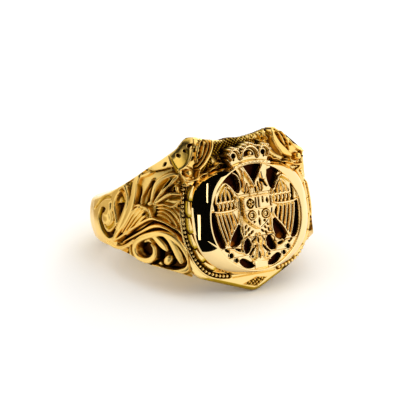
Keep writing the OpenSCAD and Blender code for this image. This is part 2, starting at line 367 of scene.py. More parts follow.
def gold(name, bright, deep, rough, grain, grain_scale=900.0, darken=1.0, deep_rough=0.45):
    """Yellow gold that turns dark and rough where a surface lies in a hollow: painted shade and tarnish,
    mottled at random.
    """
    mat = bpy.data.materials.new(name)
    mat.use_nodes = True
    nodes, link = mat.node_tree.nodes, mat.node_tree.links.new

    def add(kind, inputs, **settings):
        """A new node; each of its inputs is given a value, or an output to be linked to."""
        node = nodes.new("ShaderNode" + kind)
        for key, value in settings.items():
            setattr(node, key, value)
        for key, value in inputs.items():
            if isinstance(value, bpy.types.NodeSocket):
                link(value, node.inputs[key])
            else:
                node.inputs[key].default_value = value
        return node

    depth = add("Attribute", {}, attribute_name="hollow").outputs["Fac"]
    where = add("TexCoord", {}).outputs["Object"]
    cloud = add("TexNoise", {"Scale": PATINA_CLOUD, "Detail": 3.0, "Vector": where}).outputs["Fac"]
    # the hollow attribute paints shade and tarnish into the colour, over a random cloud of tone
    scaled = add("Math", {0: depth, 1: darken, 2: -0.08}, operation="MULTIPLY_ADD").outputs[0]
    tone_and_shade = add("Math", {0: cloud, 1: PATINA_SHARE, 2: scaled}, operation="MULTIPLY_ADD").outputs[0]
    ramp = add("ValToRGB", {"Fac": tone_and_shade})
    stops = ramp.color_ramp.elements
    ramp.color_ramp.interpolation = "EASE"
    stops[0].position, stops[1].position = 0.05, 0.85
    stops[0].color, stops[1].color = (*bright, 1), (*deep, 1)
    stops.new(0.42).color = (bright[0] * 0.60, bright[1] * 0.54, bright[2] * 0.10, 1)
    gloss = add("MapRange", {"To Min": rough, "To Max": deep_rough, "Value": tone_and_shade})
    fine = add("TexNoise", {"Scale": grain_scale, "Detail": 4.0, "Vector": where}).outputs["Fac"]
    bump = add("Bump", {"Strength": grain, "Distance": BUMP_DEPTH, "Height": fine})
    shader = nodes["Principled BSDF"]
    shader.inputs["Metallic"].default_value = 1.0
    link(ramp.outputs["Color"], shader.inputs["Base Color"])
    link(gloss.outputs["Result"], shader.inputs["Roughness"])
    link(bump.outputs["Normal"], shader.inputs["Normal"])
    return mat


GOLD = (0.93, 0.69, 0.29)
DEEP = (0.045, 0.014, 0.002)
POLISHED = gold("polished_gold", GOLD, DEEP, 0.13, grain=0.10)
MIRROR = gold("mirror_gold", (0.96, 0.74, 0.38), DEEP, 0.035, grain=0.02, grain_scale=300.0, darken=0.6)
CARVED = gold("carved_gold", (0.97, 0.68, 0.23), (0.10, 0.038, 0.006), 0.29, grain=0.16, darken=0.92)
RELIEF = gold("relief_gold", (1.0, 0.775, 0.42), (0.075, 0.026, 0.006), 0.22, grain=0.14, darken=0.95)
SHADOWED = gold("shadowed_gold", (0.40, 0.13, 0.02), (0.045, 0.011, 0.004), 0.30, grain=0.5,
        grain_scale=1500.0)


# ---------------------------------------------------------------- the ring's outside
def top_edge(y):
    d = np.clip(TOP_SWEEP_Y - y, 0, None)
    return BACK_TOP + TOP_SWEEP_R - np.sqrt(TOP_SWEEP_R**2 - d * d)


def bottom_edge(y):
    d = np.clip(BOTTOM_SWEEP_Y - y, 0, None)
    return BACK_BOTTOM - BOTTOM_SWEEP_R + np.sqrt(BOTTOM_SWEEP_R**2 - d * d)


FLARE_END = FLARE_R * np.arcsin((FRAME_FRONT - 0.05 - OUTER_SHIFT) / FLARE_R)


def shoulder_path(s):
    """Left shoulder seen from above: place and outward direction at distance s back from the bezel."""
    on_flare = s < FLARE_END
    phi = (FLARE_END - s) / FLARE_R
    psi = (s - FLARE_END) / OUTER_R
    x = np.where(on_flare, FLARE_R - OUTER_R - FLARE_R * np.cos(phi), -OUTER_R * np.cos(psi))
    y = np.where(on_flare, -OUTER_SHIFT - FLARE_R * np.sin(phi), -OUTER_SHIFT + OUTER_R * np.sin(psi))
    nx = np.where(on_flare, -np.cos(phi), -np.cos(psi))
    ny = np.where(on_flare, -np.sin(phi), np.sin(psi))
    return x, y, nx, ny


def shank():
    """The finger band, thick round the back, with rounded edges."""
    n, edge = 420, 0.42
    theta = np.linspace(0, 2 * np.pi, n, endpoint=False)
    c, s = np.cos(theta), np.sin(theta)
    # the outer outline is a circle shifted towards the bezel
    outline = -OUTER_SHIFT * s + np.sqrt(OUTER_R**2 - (OUTER_SHIFT * c) ** 2)
    thick = smoothstep(outline * s, 0.6, 2.6)
    outer = (BAND_R + 0.02) * (1 - thick) + outline * thick
    inner = np.full(n, BORE_R)
    zt, zb = top_edge(outer * s), bottom_edge(outer * s)
    # four rounded corners, each followed by the middle of the next face
    turn = np.radians(np.linspace(0, 90, 7))
    section = []
    corners = [(outer, 1, zt, 1, 1, ((outer + inner) / 2, zt)),
            (inner, -1, zt, 1, -1, (inner, (zt + zb) / 2)),
            (inner, -1, zb, -1, 1, ((outer + inner) / 2, zb)),
            (outer, 1, zb, -1, -1, (outer, (zt + zb) / 2))]
    for wall, outward, level, up, order, after in corners:
        for a in turn[::order]:
            section.append((wall - outward * edge + outward * edge * np.cos(a),
                    level - up * edge + up * edge * np.sin(a)))
        section.append(after)
    r, z = (np.stack(part, 1) for part in zip(*section))
    rings = np.stack([r * c[:, None], r * s[:, None], z], -1)
    obj = tube_of_rings("finger_band", rings, POLISHED, np.zeros(r.shape), flip=True)
    piece(obj, "polished_gold", "shank")


# ---------------------------------------------------------------- shoulders
def carve_shoulder(relief):
    """Scrolls, lily and palmette; u is the distance back from the bezel, v the height z."""
    ridge, groove, sink, bump = relief.ridge, relief.groove, relief.sink, relief.bump
    # plain back part, and the volute sunk into it
    relief.plate([(20, 5), (20, -5), (12, -4.5), (10.9, -3.2), (10.6, -2.2), (10.3, -1.0), (10.3, 0.6),
            (10.6, 1.6), (10.6, 2.6), (10.3, 3.3), (10.6, 5)], 0.1, bevel=0.25, smooth=False)
    groove([(11.75, 0.75, 0.25), (12.2, 1.25, 0.6), (12.7, 1.4, 0.75), (13.15, 0.95, 0.8),
            (13.3, 0.35, 0.8), (13.15, -0.35, 0.8), (12.9, -1.05, 0.85), (12.4, -1.6, 0.85),
            (11.7, -1.62, 0.75), (11.1, -1.25, 0.6), (10.5, -0.75, 0.4), (10.0, -0.45, 0.2)], 0.75)
    groove([(12.5, -0.4, 0.25), (12.0, -0.78, 0.5), (11.4, -0.6, 0.5), (10.9, -0.1, 0.25)], 0.3, shade_and_tarnish=0.35)
    bump((12.0, 0.4), 0.78, 0.85, 0.34, angle=20, base=-0.1)
    ridge([(11.9, 0.9, 0.8), (11.4, 1.5, 0.75), (11.1, 2.1, 0.4)], 0.3, base=0)
    groove([(10.75, 1.2, 0.2), (10.6, 0.6, 0.4), (10.8, 0.05, 0.2)], 0.6)
    groove([(14.6, 1.5, 0.3), (13.9, 1.95, 0.5), (13.2, 2.45, 0.55), (12.3, 2.85, 0.6), (11.5, 2.9, 0.5),
            (10.9, 2.85, 0.3)], 0.28, shade_and_tarnish=0.3)
    groove([(10.55, 3.4, 0.2), (10.75, 2.8, 0.26), (10.75, 2.4, 0.1)], 0.3, shade_and_tarnish=0.7)
    # stem running up to the top edge
    ridge([(11.2, -2.2, 0.6), (10.3, -1.2, 0.8), (9.3, -0.35, 0.9), (8.4, 0.55, 0.95), (7.6, 1.5, 1.0),
            (7.0, 2.6, 1.05), (6.6, 3.6, 1.1), (6.2, 4.5, 1.0), (5.7, 5.2, 0.8)], 0.26)
    groove([(5.9, 4.3, 0.2), (6.0, 3.4, 0.35), (6.35, 2.6, 0.35), (6.6, 2.0, 0.2)], 0.3, shade_and_tarnish=0.5)
    sink([(7.6, 4.5), (6.75, 4.45), (6.95, 3.75), (7.3, 2.9), (7.5, 3.7)], -0.4, shade_and_tarnish=0.75)
    # looped leaf round a deep opening
    ridge([(10.15, -0.2, 0.4), (10.3, 1.0, 0.55), (10.4, 1.9, 0.7), (10.2, 2.8, 1.0), (9.7, 3.45, 1.1),
            (8.9, 4.0, 0.9)], 0.34)
    ridge([(8.9, 4.1, 0.7), (8.1, 4.1, 0.6), (7.75, 3.3, 0.6), (7.85, 2.4, 0.6), (8.2, 1.7, 0.6),
            (8.8, 0.85, 0.65), (9.5, 0.0, 0.65), (10.2, -0.85, 0.6)], 0.38)
    groove([(8.75, 3.7, 0.3), (8.4, 3.1, 0.45), (8.55, 2.5, 0.45), (9.0, 2.1, 0.5)], 0.45, shade_and_tarnish=0.55)
    groove([(9.4, 3.0, 0.3), (9.3, 2.4, 0.6), (9.5, 1.9, 0.5)], 0.35, shade_and_tarnish=0.5)
    sink([(10.0, 2.05), (9.3, 2.1), (8.7, 1.95), (8.85, 1.4), (9.35, 0.75), (9.7, 0.2), (9.95, 0.45),
            (10.05, 1.3)], -1.0)
    groove([(10.5, -2.1, 0.2), (9.9, -1.65, 0.45), (9.2, -1.15, 0.4), (8.7, -0.8, 0.15)], 0.45)
    # narrow leaf beside the stem, dark inside
    ridge([(5.75, 1.9, 0.25), (5.55, 2.65, 0.32), (5.1, 3.3, 0.34), (4.5, 3.95, 0.34), (3.8, 4.7, 0.3)],
            0.2)
    groove([(5.25, 1.75, 0.35), (4.85, 2.5, 0.75), (4.35, 3.35, 0.75), (3.6, 4.3, 0.5)], 0.3, shade_and_tarnish=0.8)
    ridge([(5.1, 2.2, 0.12), (4.65, 3.1, 0.2), (4.1, 3.9, 0.12)], 0.0, base=-0.5)
    # palmette: arching leaf and its neighbours over a fan of narrow ones
    ridge([(4.2, 1.95, 0.3), (3.95, 2.6, 0.55), (3.5, 3.5, 0.8), (2.9, 4.25, 0.95), (2.0, 4.8, 0.85),
            (1.1, 5.15, 0.6), (0.3, 5.15, 0.5), (-0.4, 4.6, 0.4)], 0.36)
    groove([(3.55, 2.8, 0.2), (3.05, 3.6, 0.4), (2.3, 4.3, 0.4), (1.5, 4.75, 0.2)], 0.28, shade_and_tarnish=0.35)
    ridge([(3.6, 2.2, 0.3), (2.8, 2.95, 0.5), (2.0, 3.65, 0.75), (1.2, 4.3, 0.85), (0.4, 4.75, 0.5)], 0.34)
    sink([(2.3, 3.55), (1.9, 3.75), (1.3, 4.2), (0.75, 4.85), (1.25, 4.65), (1.85, 4.15)], -0.35)
    ridge([(3.8, 1.95, 0.3), (3.0, 2.25, 0.45), (2.1, 2.7, 0.55), (1.3, 2.95, 0.5), (0.2, 2.85, 0.45),
            (-0.3, 2.75, 0.3)], 0.28)
    sink([(2.2, 3.15), (1.6, 3.25), (1.2, 3.55), (0.9, 4.0), (1.4, 3.85), (1.9, 3.5)], -0.45, shade_and_tarnish=0.6)
    groove([(1.9, 2.3, 0.2), (1.0, 2.35, 0.36), (0.3, 2.45, 0.25)], 0.3, shade_and_tarnish=0.45)
    bump((0.5, 3.5), 0.3, 0.42, 0.3, base=-0.3)
    for s, z, r in ((1.05, 3.35, 0.2), (0.05, 3.5, 0.3), (0.1, 4.2, 0.2)):
        groove([(s, z - 0.1, 2 * r), (s, z + 0.1, 2 * r)], 0.55)
    # hub, and the leaves that fan out from it and droop
    bump((4.35, 1.95), 0.42, 0.3, 0.4, base=-0.2)
    bump((3.7, 1.9), 0.3, 0.26, 0.34, base=-0.2)
    ridge([(3.4, 1.7, 0.3), (2.4, 1.75, 0.36), (1.5, 1.45, 0.4), (0.9, 1.6, 0.4), (0.3, 2.05, 0.4),
            (-0.3, 2.2, 0.3)], 0.28)
    ridge([(3.5, 1.35, 0.26), (2.6, 1.35, 0.36), (1.7, 1.0, 0.4), (1.1, 0.35, 0.4), (0.65, -0.5, 0.36),
            (0.35, -1.3, 0.25)], 0.26, base=-0.45)
    ridge([(3.5, 0.95, 0.24), (2.7, 0.95, 0.32), (2.0, 0.5, 0.36), (1.5, -0.15, 0.34), (1.1, -0.9, 0.24)],
            0.2, base=-0.45)
    ridge([(3.6, 0.6, 0.2), (2.9, 0.5, 0.3), (2.3, 0.1, 0.3), (1.9, -0.4, 0.2)], 0.14, base=-0.45)
    ridge([(1.3, 1.2, 0.2), (0.8, 0.7, 0.34), (0.4, 0.0, 0.34), (0.1, -0.9, 0.24)], 0.22, base=-0.45)
    ridge([(0.9, 1.35, 0.2), (0.4, 1.1, 0.3), (0.0, 0.5, 0.3), (-0.2, -0.2, 0.2)], 0.22, base=-0.45)
    sink([(4.0, 1.5), (3.65, 1.45), (3.75, 0.9), (4.0, 0.5), (4.25, 0.55), (4.15, 1.0)], -0.6)
    # lily bell
    relief.plate([(10.4, -2.15), (8.6, -0.75), (7.4, 0.5), (6.6, 1.5), (6.0, 1.8), (5.3, 1.5), (4.6, 1.1),
            (4.5, 0.4), (6.0, -0.2), (8.0, -1.0)], 0.06, bevel=0.3)
    for k in range(4):
        ridge([(9.6 - 0.32 * k, -1.35 - 0.1 * k, 0.2), (8.3 - 0.34 * k, -0.15 - 0.22 * k, 0.4),
                (7.1 - 0.38 * k, 1.05 - 0.3 * k, 0.5), (6.2 - 0.4 * k, 1.6 - 0.26 * k, 0.3)],
                0.24, base=-0.15)
        groove([(8.9 - 0.32 * k, -0.95 - 0.12 * k, 0.1), (7.4 - 0.34 * k, 0.45 - 0.28 * k, 0.2),
                (6.3 - 0.34 * k, 1.2 - 0.28 * k, 0.1)], 0.28, shade_and_tarnish=0.45)
    groove([(5.6, 0.7, 0.3), (5.15, 0.85, 0.5), (4.95, 0.5, 0.3)], 0.3, shade_and_tarnish=0.4)
    ridge([(6.7, 1.75, 0.25), (6.0, 1.85, 0.36), (5.35, 1.6, 0.36), (4.7, 1.35, 0.38), (4.5, 0.85, 0.38),
            (4.45, 0.35, 0.4)], 0.38)
    ridge([(11.0, -2.35, 0.3), (9.8, -1.9, 0.4), (8.4, -1.3, 0.42), (7.2, -0.8, 0.42), (6.0, -0.3, 0.42),
            (5.0, 0.08, 0.44), (4.2, 0.2, 0.44), (3.4, 0.0, 0.4), (2.5, -0.35, 0.36), (1.6, -0.9, 0.34),
            (0.9, -1.35, 0.3), (0.3, -2.1, 0.25)], 0.4)
    # dark line under the lily, with a broad rib and a softer line below it
    groove([(10.6, -2.6, 0.2), (9.4, -2.15, 0.4), (7.8, -1.6, 0.4), (6.2, -1.0, 0.36), (5.0, -0.45, 0.34),
            (4.2, -0.25, 0.32), (3.2, -0.4, 0.32), (2.1, -0.95, 0.32), (1.2, -1.65, 0.32),
            (0.4, -2.5, 0.25)], 0.4, shade_and_tarnish=0.7)
    ridge([(9.6, -2.5, 0.2), (8.0, -1.95, 0.34), (6.3, -1.35, 0.42), (5.0, -0.88, 0.52), (4.1, -0.72, 0.5),
            (3.2, -0.82, 0.46), (2.2, -1.3, 0.38), (1.3, -2.0, 0.32), (0.5, -2.9, 0.22)], 0.16)
    groove([(10.4, -2.95, 0.2), (9.2, -2.65, 0.3), (7.6, -2.15, 0.28), (6.2, -1.68, 0.26),
            (5.0, -1.28, 0.24), (4.0, -1.12, 0.24), (3.0, -1.22, 0.24), (2.0, -1.65, 0.24),
            (1.1, -2.4, 0.24), (0.4, -3.3, 0.2)], 0.3, shade_and_tarnish=0.4)
    # scroll: one band that runs along the top, down behind the opening and curls round it
    sink([(3.9, -1.9), (2.2, -2.0), (1.0, -3.0), (0.3, -4.3), (0.2, -5.4), (1.2, -5.9), (2.4, -5.8),
            (4.0, -5.3), (4.6, -3.5)], -0.75, wall=0.2, shade_and_tarnish=0.95)
    ridge([(2.9, -6.05, 0.4), (1.6, -6.15, 0.65), (0.4, -5.95, 0.8), (-0.1, -5.2, 0.8), (0.15, -4.2, 0.8),
            (0.7, -3.2, 0.8), (1.45, -2.4, 0.8), (2.4, -1.85, 0.8), (3.6, -1.6, 0.82), (5.0, -1.77, 0.88),
            (6.3, -2.1, 0.88), (7.2, -2.6, 0.86), (7.6, -3.4, 0.86), (7.25, -4.25, 0.9),
            (6.3, -4.75, 0.95), (5.2, -4.65, 0.9), (4.5, -4.05, 0.8), (4.4, -3.3, 0.62),
            (4.7, -2.85, 0.45)], 0.42)
    sink([(5.3, -2.25), (6.2, -2.5), (6.95, -3.15), (6.85, -3.8), (6.15, -4.2), (5.4, -4.05),
            (4.95, -3.45), (4.9, -2.75)], -1.1, wall=0.08)
    ridge([(5.0, -2.55, 0.4), (5.5, -2.35, 0.5), (6.0, -2.55, 0.3)], 0.0, base=-0.5)
    groove([(7.85, -2.75, 0.2), (7.95, -3.5, 0.28), (7.65, -4.3, 0.32), (6.9, -4.95, 0.34),
            (6.0, -5.2, 0.34), (5.0, -5.1, 0.32), (4.15, -4.6, 0.36), (3.9, -3.8, 0.42), (4.0, -3.0, 0.36),
            (4.4, -2.4, 0.2)], 0.55)
    ridge([(12.6, -2.55, 0.4), (11.2, -3.15, 0.55), (9.8, -3.15, 0.6), (8.8, -2.9, 0.6), (7.6, -2.4, 0.6)],
            0.32)
    ridge([(8.45, -3.1, 0.3), (8.4, -3.8, 0.45), (7.95, -4.6, 0.4), (7.2, -5.2, 0.3)], 0.2)
    groove([(8.85, -3.2, 0.15), (8.75, -3.9, 0.25), (8.4, -4.5, 0.15)], 0.4, shade_and_tarnish=0.8)
    sink([(9.5, -3.6), (9.0, -3.4), (8.95, -3.8), (9.2, -4.1)], -0.5, shade_and_tarnish=0.8)
    # commas, bulb and small leaf
    ridge([(4.6, -1.85, 0.5), (4.0, -2.2, 0.85), (3.5, -2.75, 1.0), (3.0, -3.25, 0.9), (2.7, -3.6, 0.5)],
            0.34)
    ridge([(3.0, -1.75, 0.45), (2.3, -2.25, 0.75), (1.85, -2.9, 0.95), (1.5, -3.6, 1.05), (1.2, -4.3, 1.1),
            (0.95, -5.0, 0.8)], 0.4)
    bump((2.75, -4.75), 0.85, 0.6, 0.4, angle=-38, moat=0.06)
    ridge([(5.2, -5.3, 0.3), (4.4, -5.55, 0.45), (3.4, -5.9, 0.35)], 0.22)
    # slim rails under the top edge
    ridge([(3.4, 5.75, 0.3), (4.4, 5.4, 0.45), (5.6, 5.1, 0.4)], 0.16)
    ridge([(8.6, 4.65, 0.3), (9.6, 4.25, 0.35), (10.8, 3.85, 0.35), (12.0, 3.45, 0.3)], 0.12)
    # plain facet by the ear, leaning in, with drilled holes
    foot = spline([(4.6, 6.1, 0), (3.6, 5.75, 0), (2.4, 5.8, 0), (1.2, 6.0, 0), (-0.6, 6.15, 0)])
    above = relief.v - np.interp(relief.u, foot[::-1, 0], foot[::-1, 1])
    on_facet = (above > 0) & (relief.u < 4.6)
    relief.h[on_facet] = (0.1 - 0.75 * above)[on_facet]
    relief.shade_and_tarnish[on_facet] = 0
    groove([(4.5, 6.05, 0.1), (3.6, 5.72, 0.18), (2.4, 5.77, 0.18), (1.2, 5.97, 0.12)], 0.3, shade_and_tarnish=0.7)
    for s, z, r in ((1.95, 6.4, 0.2), (0.55, 7.2, 0.28)):
        relief.drill((s, z), r, -1.6)


def shoulders():
    """Both shoulders from one carved surface; the right one is mirrored, and slimmer by the bezel."""
    rows, middle, edge = 320, 236, 0.3
    volute_sag, facet_end = 0.35, 4.6
    s_end = FLARE_END + OUTER_R * np.arcsin((TOP_SWEEP_Y + OUTER_SHIFT) / OUTER_R)
    s = np.linspace(0, s_end, rows)
    x, y, nx, ny = (a[:, None] for a in shoulder_path(s))
    # the lower volute hangs a little below the sweep of the edge
    zt, zb = top_edge(y), bottom_edge(y) - volute_sag * np.exp(-(((s[:, None] - 5.8) / 2.6) ** 2))
    steps = edge * np.array([0, 0.03, 0.1, 0.19, 0.33, 0.5, 0.7])
    t = np.linspace(0, 1, middle)
    z = np.hstack([zb + steps, zb + edge + (zt - zb - 2 * edge) * t, (zt - steps[::-1])])
    relief = Relief(np.repeat(s[:, None], z.shape[1], 1), z, -0.4)
    carve_shoulder(relief)
    # the carving fades into the plain band behind it, and the edges are rounded over
    plain = smoothstep(relief.u, 15.0, 15.9)
    relief.h = blurred(relief.h * (1 - plain), 1)
    relief.shade_and_tarnish *= 1 - plain
    hollow = relief.hollowness(near=5, wide=12, gain=1.0)
    gap = np.minimum(z - zb, zt - z)
    rounding = edge - np.sqrt(np.clip(edge**2 - np.clip(edge - gap, 0, None) ** 2, 0, None))
    middle_z = (z - zb) / (zt - zb)
    swell = 0.55 * 4 * middle_z * (1 - middle_z) * smoothstep(relief.u, 9, 14)
    h = relief.h * smoothstep(gap, 0, 0.25) - rounding
    facet = (relief.u < facet_end) & (middle_z > 0.5)
    h = np.where(facet, relief.h - rounding, h) + swell
    h -= (0.25 + swell) * smoothstep(relief.u, s_end - 1.6, s_end)
    outer = np.stack([x + nx * h, y + ny * h, z], -1)
    loop = [outer]
    # from the top edge in to the band, and from the band out to the bottom edge
    inwards = 0.1, 0.5, 0.9, 1.0
    for column, edge_of, shares in ((-1, top_edge, inwards), (0, bottom_edge, inwards[::-1])):
        ex, ey, ez = outer[:, column : column + 1 or None].transpose(2, 0, 1)
        r = np.hypot(ex, ey)
        for share in shares:
            px = ex + (ex / r * (BAND_R - 0.02) - ex) * share
            py = ey + (ey / r * (BAND_R - 0.02) - ey) * share
            loop.append(np.stack([px, py, ez + edge_of(py) - edge_of(ey)], -1))
    rings = np.concatenate(loop, 1)
    values = np.hstack([hollow, np.zeros((rows, 8))])
    # next to the bezel the right shoulder is shorter at both edges
    right = rings * (-1, 1, 1)
    share = (right[..., 2] - zb) / (zt - zb)
    right[..., 2] += (1 - smoothstep(s, 0, 5))[:, None] * (2.3 * (1 - share) - 0.6 * share)
    # and pinched under the ear
    pinch = 0.55 * (1 - smoothstep(s, 0.5, 4))[:, None]
    right[..., 0] -= pinch * np.exp(-(((right[..., 2] - 3.3) / 1.7) ** 2))
    for side, flip, shape in (("left", True, rings), ("right", False, right)):
        obj = tube_of_rings(side + "_carved_shoulder", shape, CARVED, values, wrap=False, flip=flip)
        nodes = "shoulder", "scroll_frame", "lower_volute", "palmette", "lily", "back_volute", "pierced_rail"
        piece(obj, "carved_gold", *(side + "_" + node for node in nodes))


# ---------------------------------------------------------------- bezel
CARTOUCHE = [(-8.1, 6.0), (-8.2, 4.2), (-8.45, 2.6), (-8.9, 0.6), (-9.0, -1.2), (-8.9, -3.0),
        (-8.65, -4.8), (-8.15, -6.3), (-7.3, -7.2), (-6.0, -7.75), (-4.5, -8.3), (-2.4, -9.05),
        (-0.8, -9.6), (0.0, -9.78), (0.8, -9.6), (2.4, -8.9), (4.3, -8.05), (5.8, -7.25), (7.1, -6.2),
        (8.0, -5.1), (8.6, -3.9), (9.05, -2.3), (9.2, -0.6), (9.1, 0.8), (8.9, 2.0), (8.3, 3.1),
        (8.1, 4.1), (8.2, 5.2), (8.0, 6.2), (7.2, 7.0), (6.0, 8.0), (4.0, 8.6), (0.0, 8.2), (-4.0, 8.5),
        (-6.0, 8.5), (-7.2, 7.4)]


# the bead channel on the right side, from the ear down and round to the foot
BEAD_LINE = [(8.0, 4.1), (8.3, 2.8), (8.5, 1.4), (8.6, 0.0), (8.62, -1.4), (8.4, -3.0), (7.85, -4.6),
        (7.0, -6.0), (6.0, -6.85), (4.8, -7.35), (3.4, -7.6)]
BEAD_PITCH = 0.5
BEAD_R = 0.21


def plaque_radius(a):
    """Distance from the medallion's centre to the foot of the dome at angle a: a rounded-off rectangle."""
    up = np.sin(a) > 0
    squareness = np.where(up, 3.0, 2.4)
    half_width, half_height = 8.2, np.where(up, 6.4, 6.65)
    x, z = np.abs(np.cos(a) / half_width), np.abs(np.sin(a) / half_height)
    return (x**squareness + z**squareness) ** (-1 / squareness)


def outline_radius(a):
    """Distance from the medallion's centre to the cartouche's edge, at angle a."""
    curve = spline(CARTOUCHE, per=12, closed=True)
    angle = np.arctan2(curve[:, 1] - MEDAL_Z, curve[:, 0])
    order = np.argsort(angle)
    return np.interp(a, angle[order], np.hypot(curve[:, 0], curve[:, 1] - MEDAL_Z)[order], period=2 * np.pi)


def bezel_frame():
    """The cartouche plate: a bead channel down each side, and a body that narrows behind them."""
    n = 800
    a = np.linspace(-np.pi, np.pi, n, endpoint=False)[:, None]
    r_out, r_in = outline_radius(a), plaque_radius(a) - 0.25
    c, s = np.cos(a), np.sin(a)
    # the edge rolls over further under the foot, and is darkened and roughened there with painted shade
    under = smoothstep(-s, 0.55, 0.8)
    edge = 0.16 + 0.25 * under
    q = np.linspace(1, 0, 60)[None, :]
    r = r_in * q + (r_out - edge) * (1 - q)
    u, v = r * c, MEDAL_Z + r * s
    relief = Relief(u, v, FRAME_FRONT - 0.12)
    for sx in relief.both_sides():
        relief.ridge([(x, z, 1.0) for x, z in BEAD_LINE], FRAME_FRONT + 0.04)
        # the left channel is darker than the right: painted shade
        relief.groove([(x, z, 0.66) for x, z in BEAD_LINE], 0.42, shade_and_tarnish=1.0 if sx < 0 else 0.4)
    # the plain foot below the channels
    foot = smoothstep(-v, 7.75, 8.0)
    relief.h = relief.h * (1 - foot) + FRAME_FRONT * foot
    relief.shade_and_tarnish *= 1 - foot
    for _ in relief.both_sides():
        relief.groove([(6.4, -6.7, 0.12), (4.8, -7.15, 0.18), (3.0, -7.4, 0.2), (0.2, -7.68, 0.16)], 0.2)
    values = relief.hollowness(near=4, wide=10, gain=1.6, wrap=True)
    loop = [facing(u, v, relief.h)]
    # the sides draw in behind the front, most at the middle of each side
    waist = 1.1 * (np.abs(c) ** 3 * smoothstep(4.5 - np.abs(v[:, :1]), 0, 1.5))
    for turn in np.radians([20, 45, 70, 90]):
        rr = r_out - edge + edge * np.sin(turn)
        depth = relief.h[:, -1:] - edge + edge * np.cos(turn)
        loop.append(facing(rr * c, MEDAL_Z + rr * s, depth))
    back = FRAME_BACK + 0.02
    for rr, depth in ((r_out - waist * 0.3, 12.05), (r_out - waist * 0.7, 11.7),
            (r_out - waist - 0.12, back), (r_in, back)):
        loop.append(facing(rr * c, MEDAL_Z + rr * s, np.full_like(rr, depth)))
    rings = np.concatenate(loop, 1)
    # the rolled-over edge under the foot takes that painted shade
    hollow = np.hstack([values, 0.55 * np.repeat(under, rings.shape[1] - values.shape[1], 1)])
    obj = tube_of_rings("cartouche_frame", rings, POLISHED, hollow, flip=True)
    piece(obj, "polished_gold", "bezel_frame")


def bead_rows():
    """A row of solid beads in each channel."""
    curve = spline(BEAD_LINE, per=12)
    length = np.concatenate([[0], np.cumsum(np.hypot(*np.diff(curve, axis=0).T))])
    where = np.arange(0.3, length[-1] - 0.2, BEAD_PITCH)
    x, z = (np.interp(where, length, curve[:, k]) for k in (0, 1))
    rows, cols = 9, 12
    lat = np.linspace(-90, 90, rows)[:, None] * np.pi / 180
    lon = np.linspace(0, 2 * np.pi, cols, endpoint=False)[None, :]
    ball = np.stack([np.cos(lat) * np.cos(lon), np.cos(lat) * np.sin(lon), np.sin(lat) + 0 * lon], -1)
    ball = BEAD_R * 0.999 * ball.reshape(-1, 3)
    quads = grid_faces(rows, cols, wrap_cols=True)
    for side, sx in (("left", -1), ("right", 1)):
        centres = np.stack([sx * x, np.full(x.shape, -(FRAME_FRONT - 0.12)), z], -1)
        verts = (centres[:, None, :] + ball[None]).reshape(-1, 3)
        faces = np.concatenate([quads + k * len(ball) for k in range(len(x))])
        obj = new_mesh(side + "_bead_row", verts, faces.tolist(), POLISHED, np.zeros(len(verts)))
        piece(obj, "polished_gold", side + "_beaded_border")


def scallop_rows():
    """Overlapping leaf plates between the beads and the plaque, each wider at its lower end."""
    count, length, ground = 6, 2.05, 12.0
    u, v = np.meshgrid(np.arange(0, count + 0.001, 0.02), np.arange(-0.46, 0.44, 0.02), indexing="ij")
    part = u % 1.0
    inner = v + 0.06 + 0.36 * part
    ends = np.minimum(part, 1 - part) * length + 0.04
    edge = np.minimum(np.minimum(inner, 0.36 - v), ends)
    shape = np.clip(edge / 0.16, 0, 1)
    for side, sx, top, shade_strength in (("left", -1, 13.2, 1.0), ("right", 1, 13.1, 0.35)):
        relief = Relief(u, v, ground)
        relief.h = ground + (top - 0.25 * (v + 0.4) - ground) * np.sqrt(1 - (1 - shape) ** 2)
        # painted shade towards the lower end of each plate and round its edges, stronger on the left side
        relief.shade_and_tarnish = shade_strength * (0.5 * smoothstep(part, 0.6, 1.0) + 0.8 * (1 - shape))

        def place(along, out, h):
            angle = np.radians(33 - 13.0 * along)
            r = plaque_radius(angle) + out
            return facing(sx * r * np.cos(angle), MEDAL_Z + r * np.sin(angle), h)

        obj = relief_solid(side + "_leaf_plates", relief, place, ground - 0.2, POLISHED,
                np.clip(relief.shade_and_tarnish, 0, 1), cut=0.06, inset=True, flip=sx > 0)
        piece(obj, "polished_gold", side + "_scallop_strip")


def tip_panel():
    """Granulated lozenge on the point of the foot."""
    relief = field(-2.0, 2.1, -9.7, -8.0, FRAME_FRONT - 0.1, 0.04)
    u, v = relief.u, relief.v
    relief.plate([(-1.8, -8.85), (0.3, -8.2), (1.9, -8.45), (0.2, -9.4)],
            FRAME_FRONT + 0.12, bevel=0.1, smooth=False)
    grain = np.sqrt(np.clip(0.2 + punched(u, v, 12, 1.5, (3, 4)), 0, 1))
    raised = relief.h > FRAME_FRONT + 0.1
    relief.h[raised] += (0.2 * grain - 0.1)[raised]
    # the gaps between the grains are darkened with painted shade and tarnish
    relief.shade_and_tarnish[raised] = (1 - grain)[raised]
    hollow = relief.hollowness(near=2, wide=6, gain=1.2)
    obj = relief_solid("granulated_tip", relief, facing, FRAME_FRONT - 0.3, CARVED, hollow, cut=0.02)
    piece(obj, "carved_gold", "tip_panel")


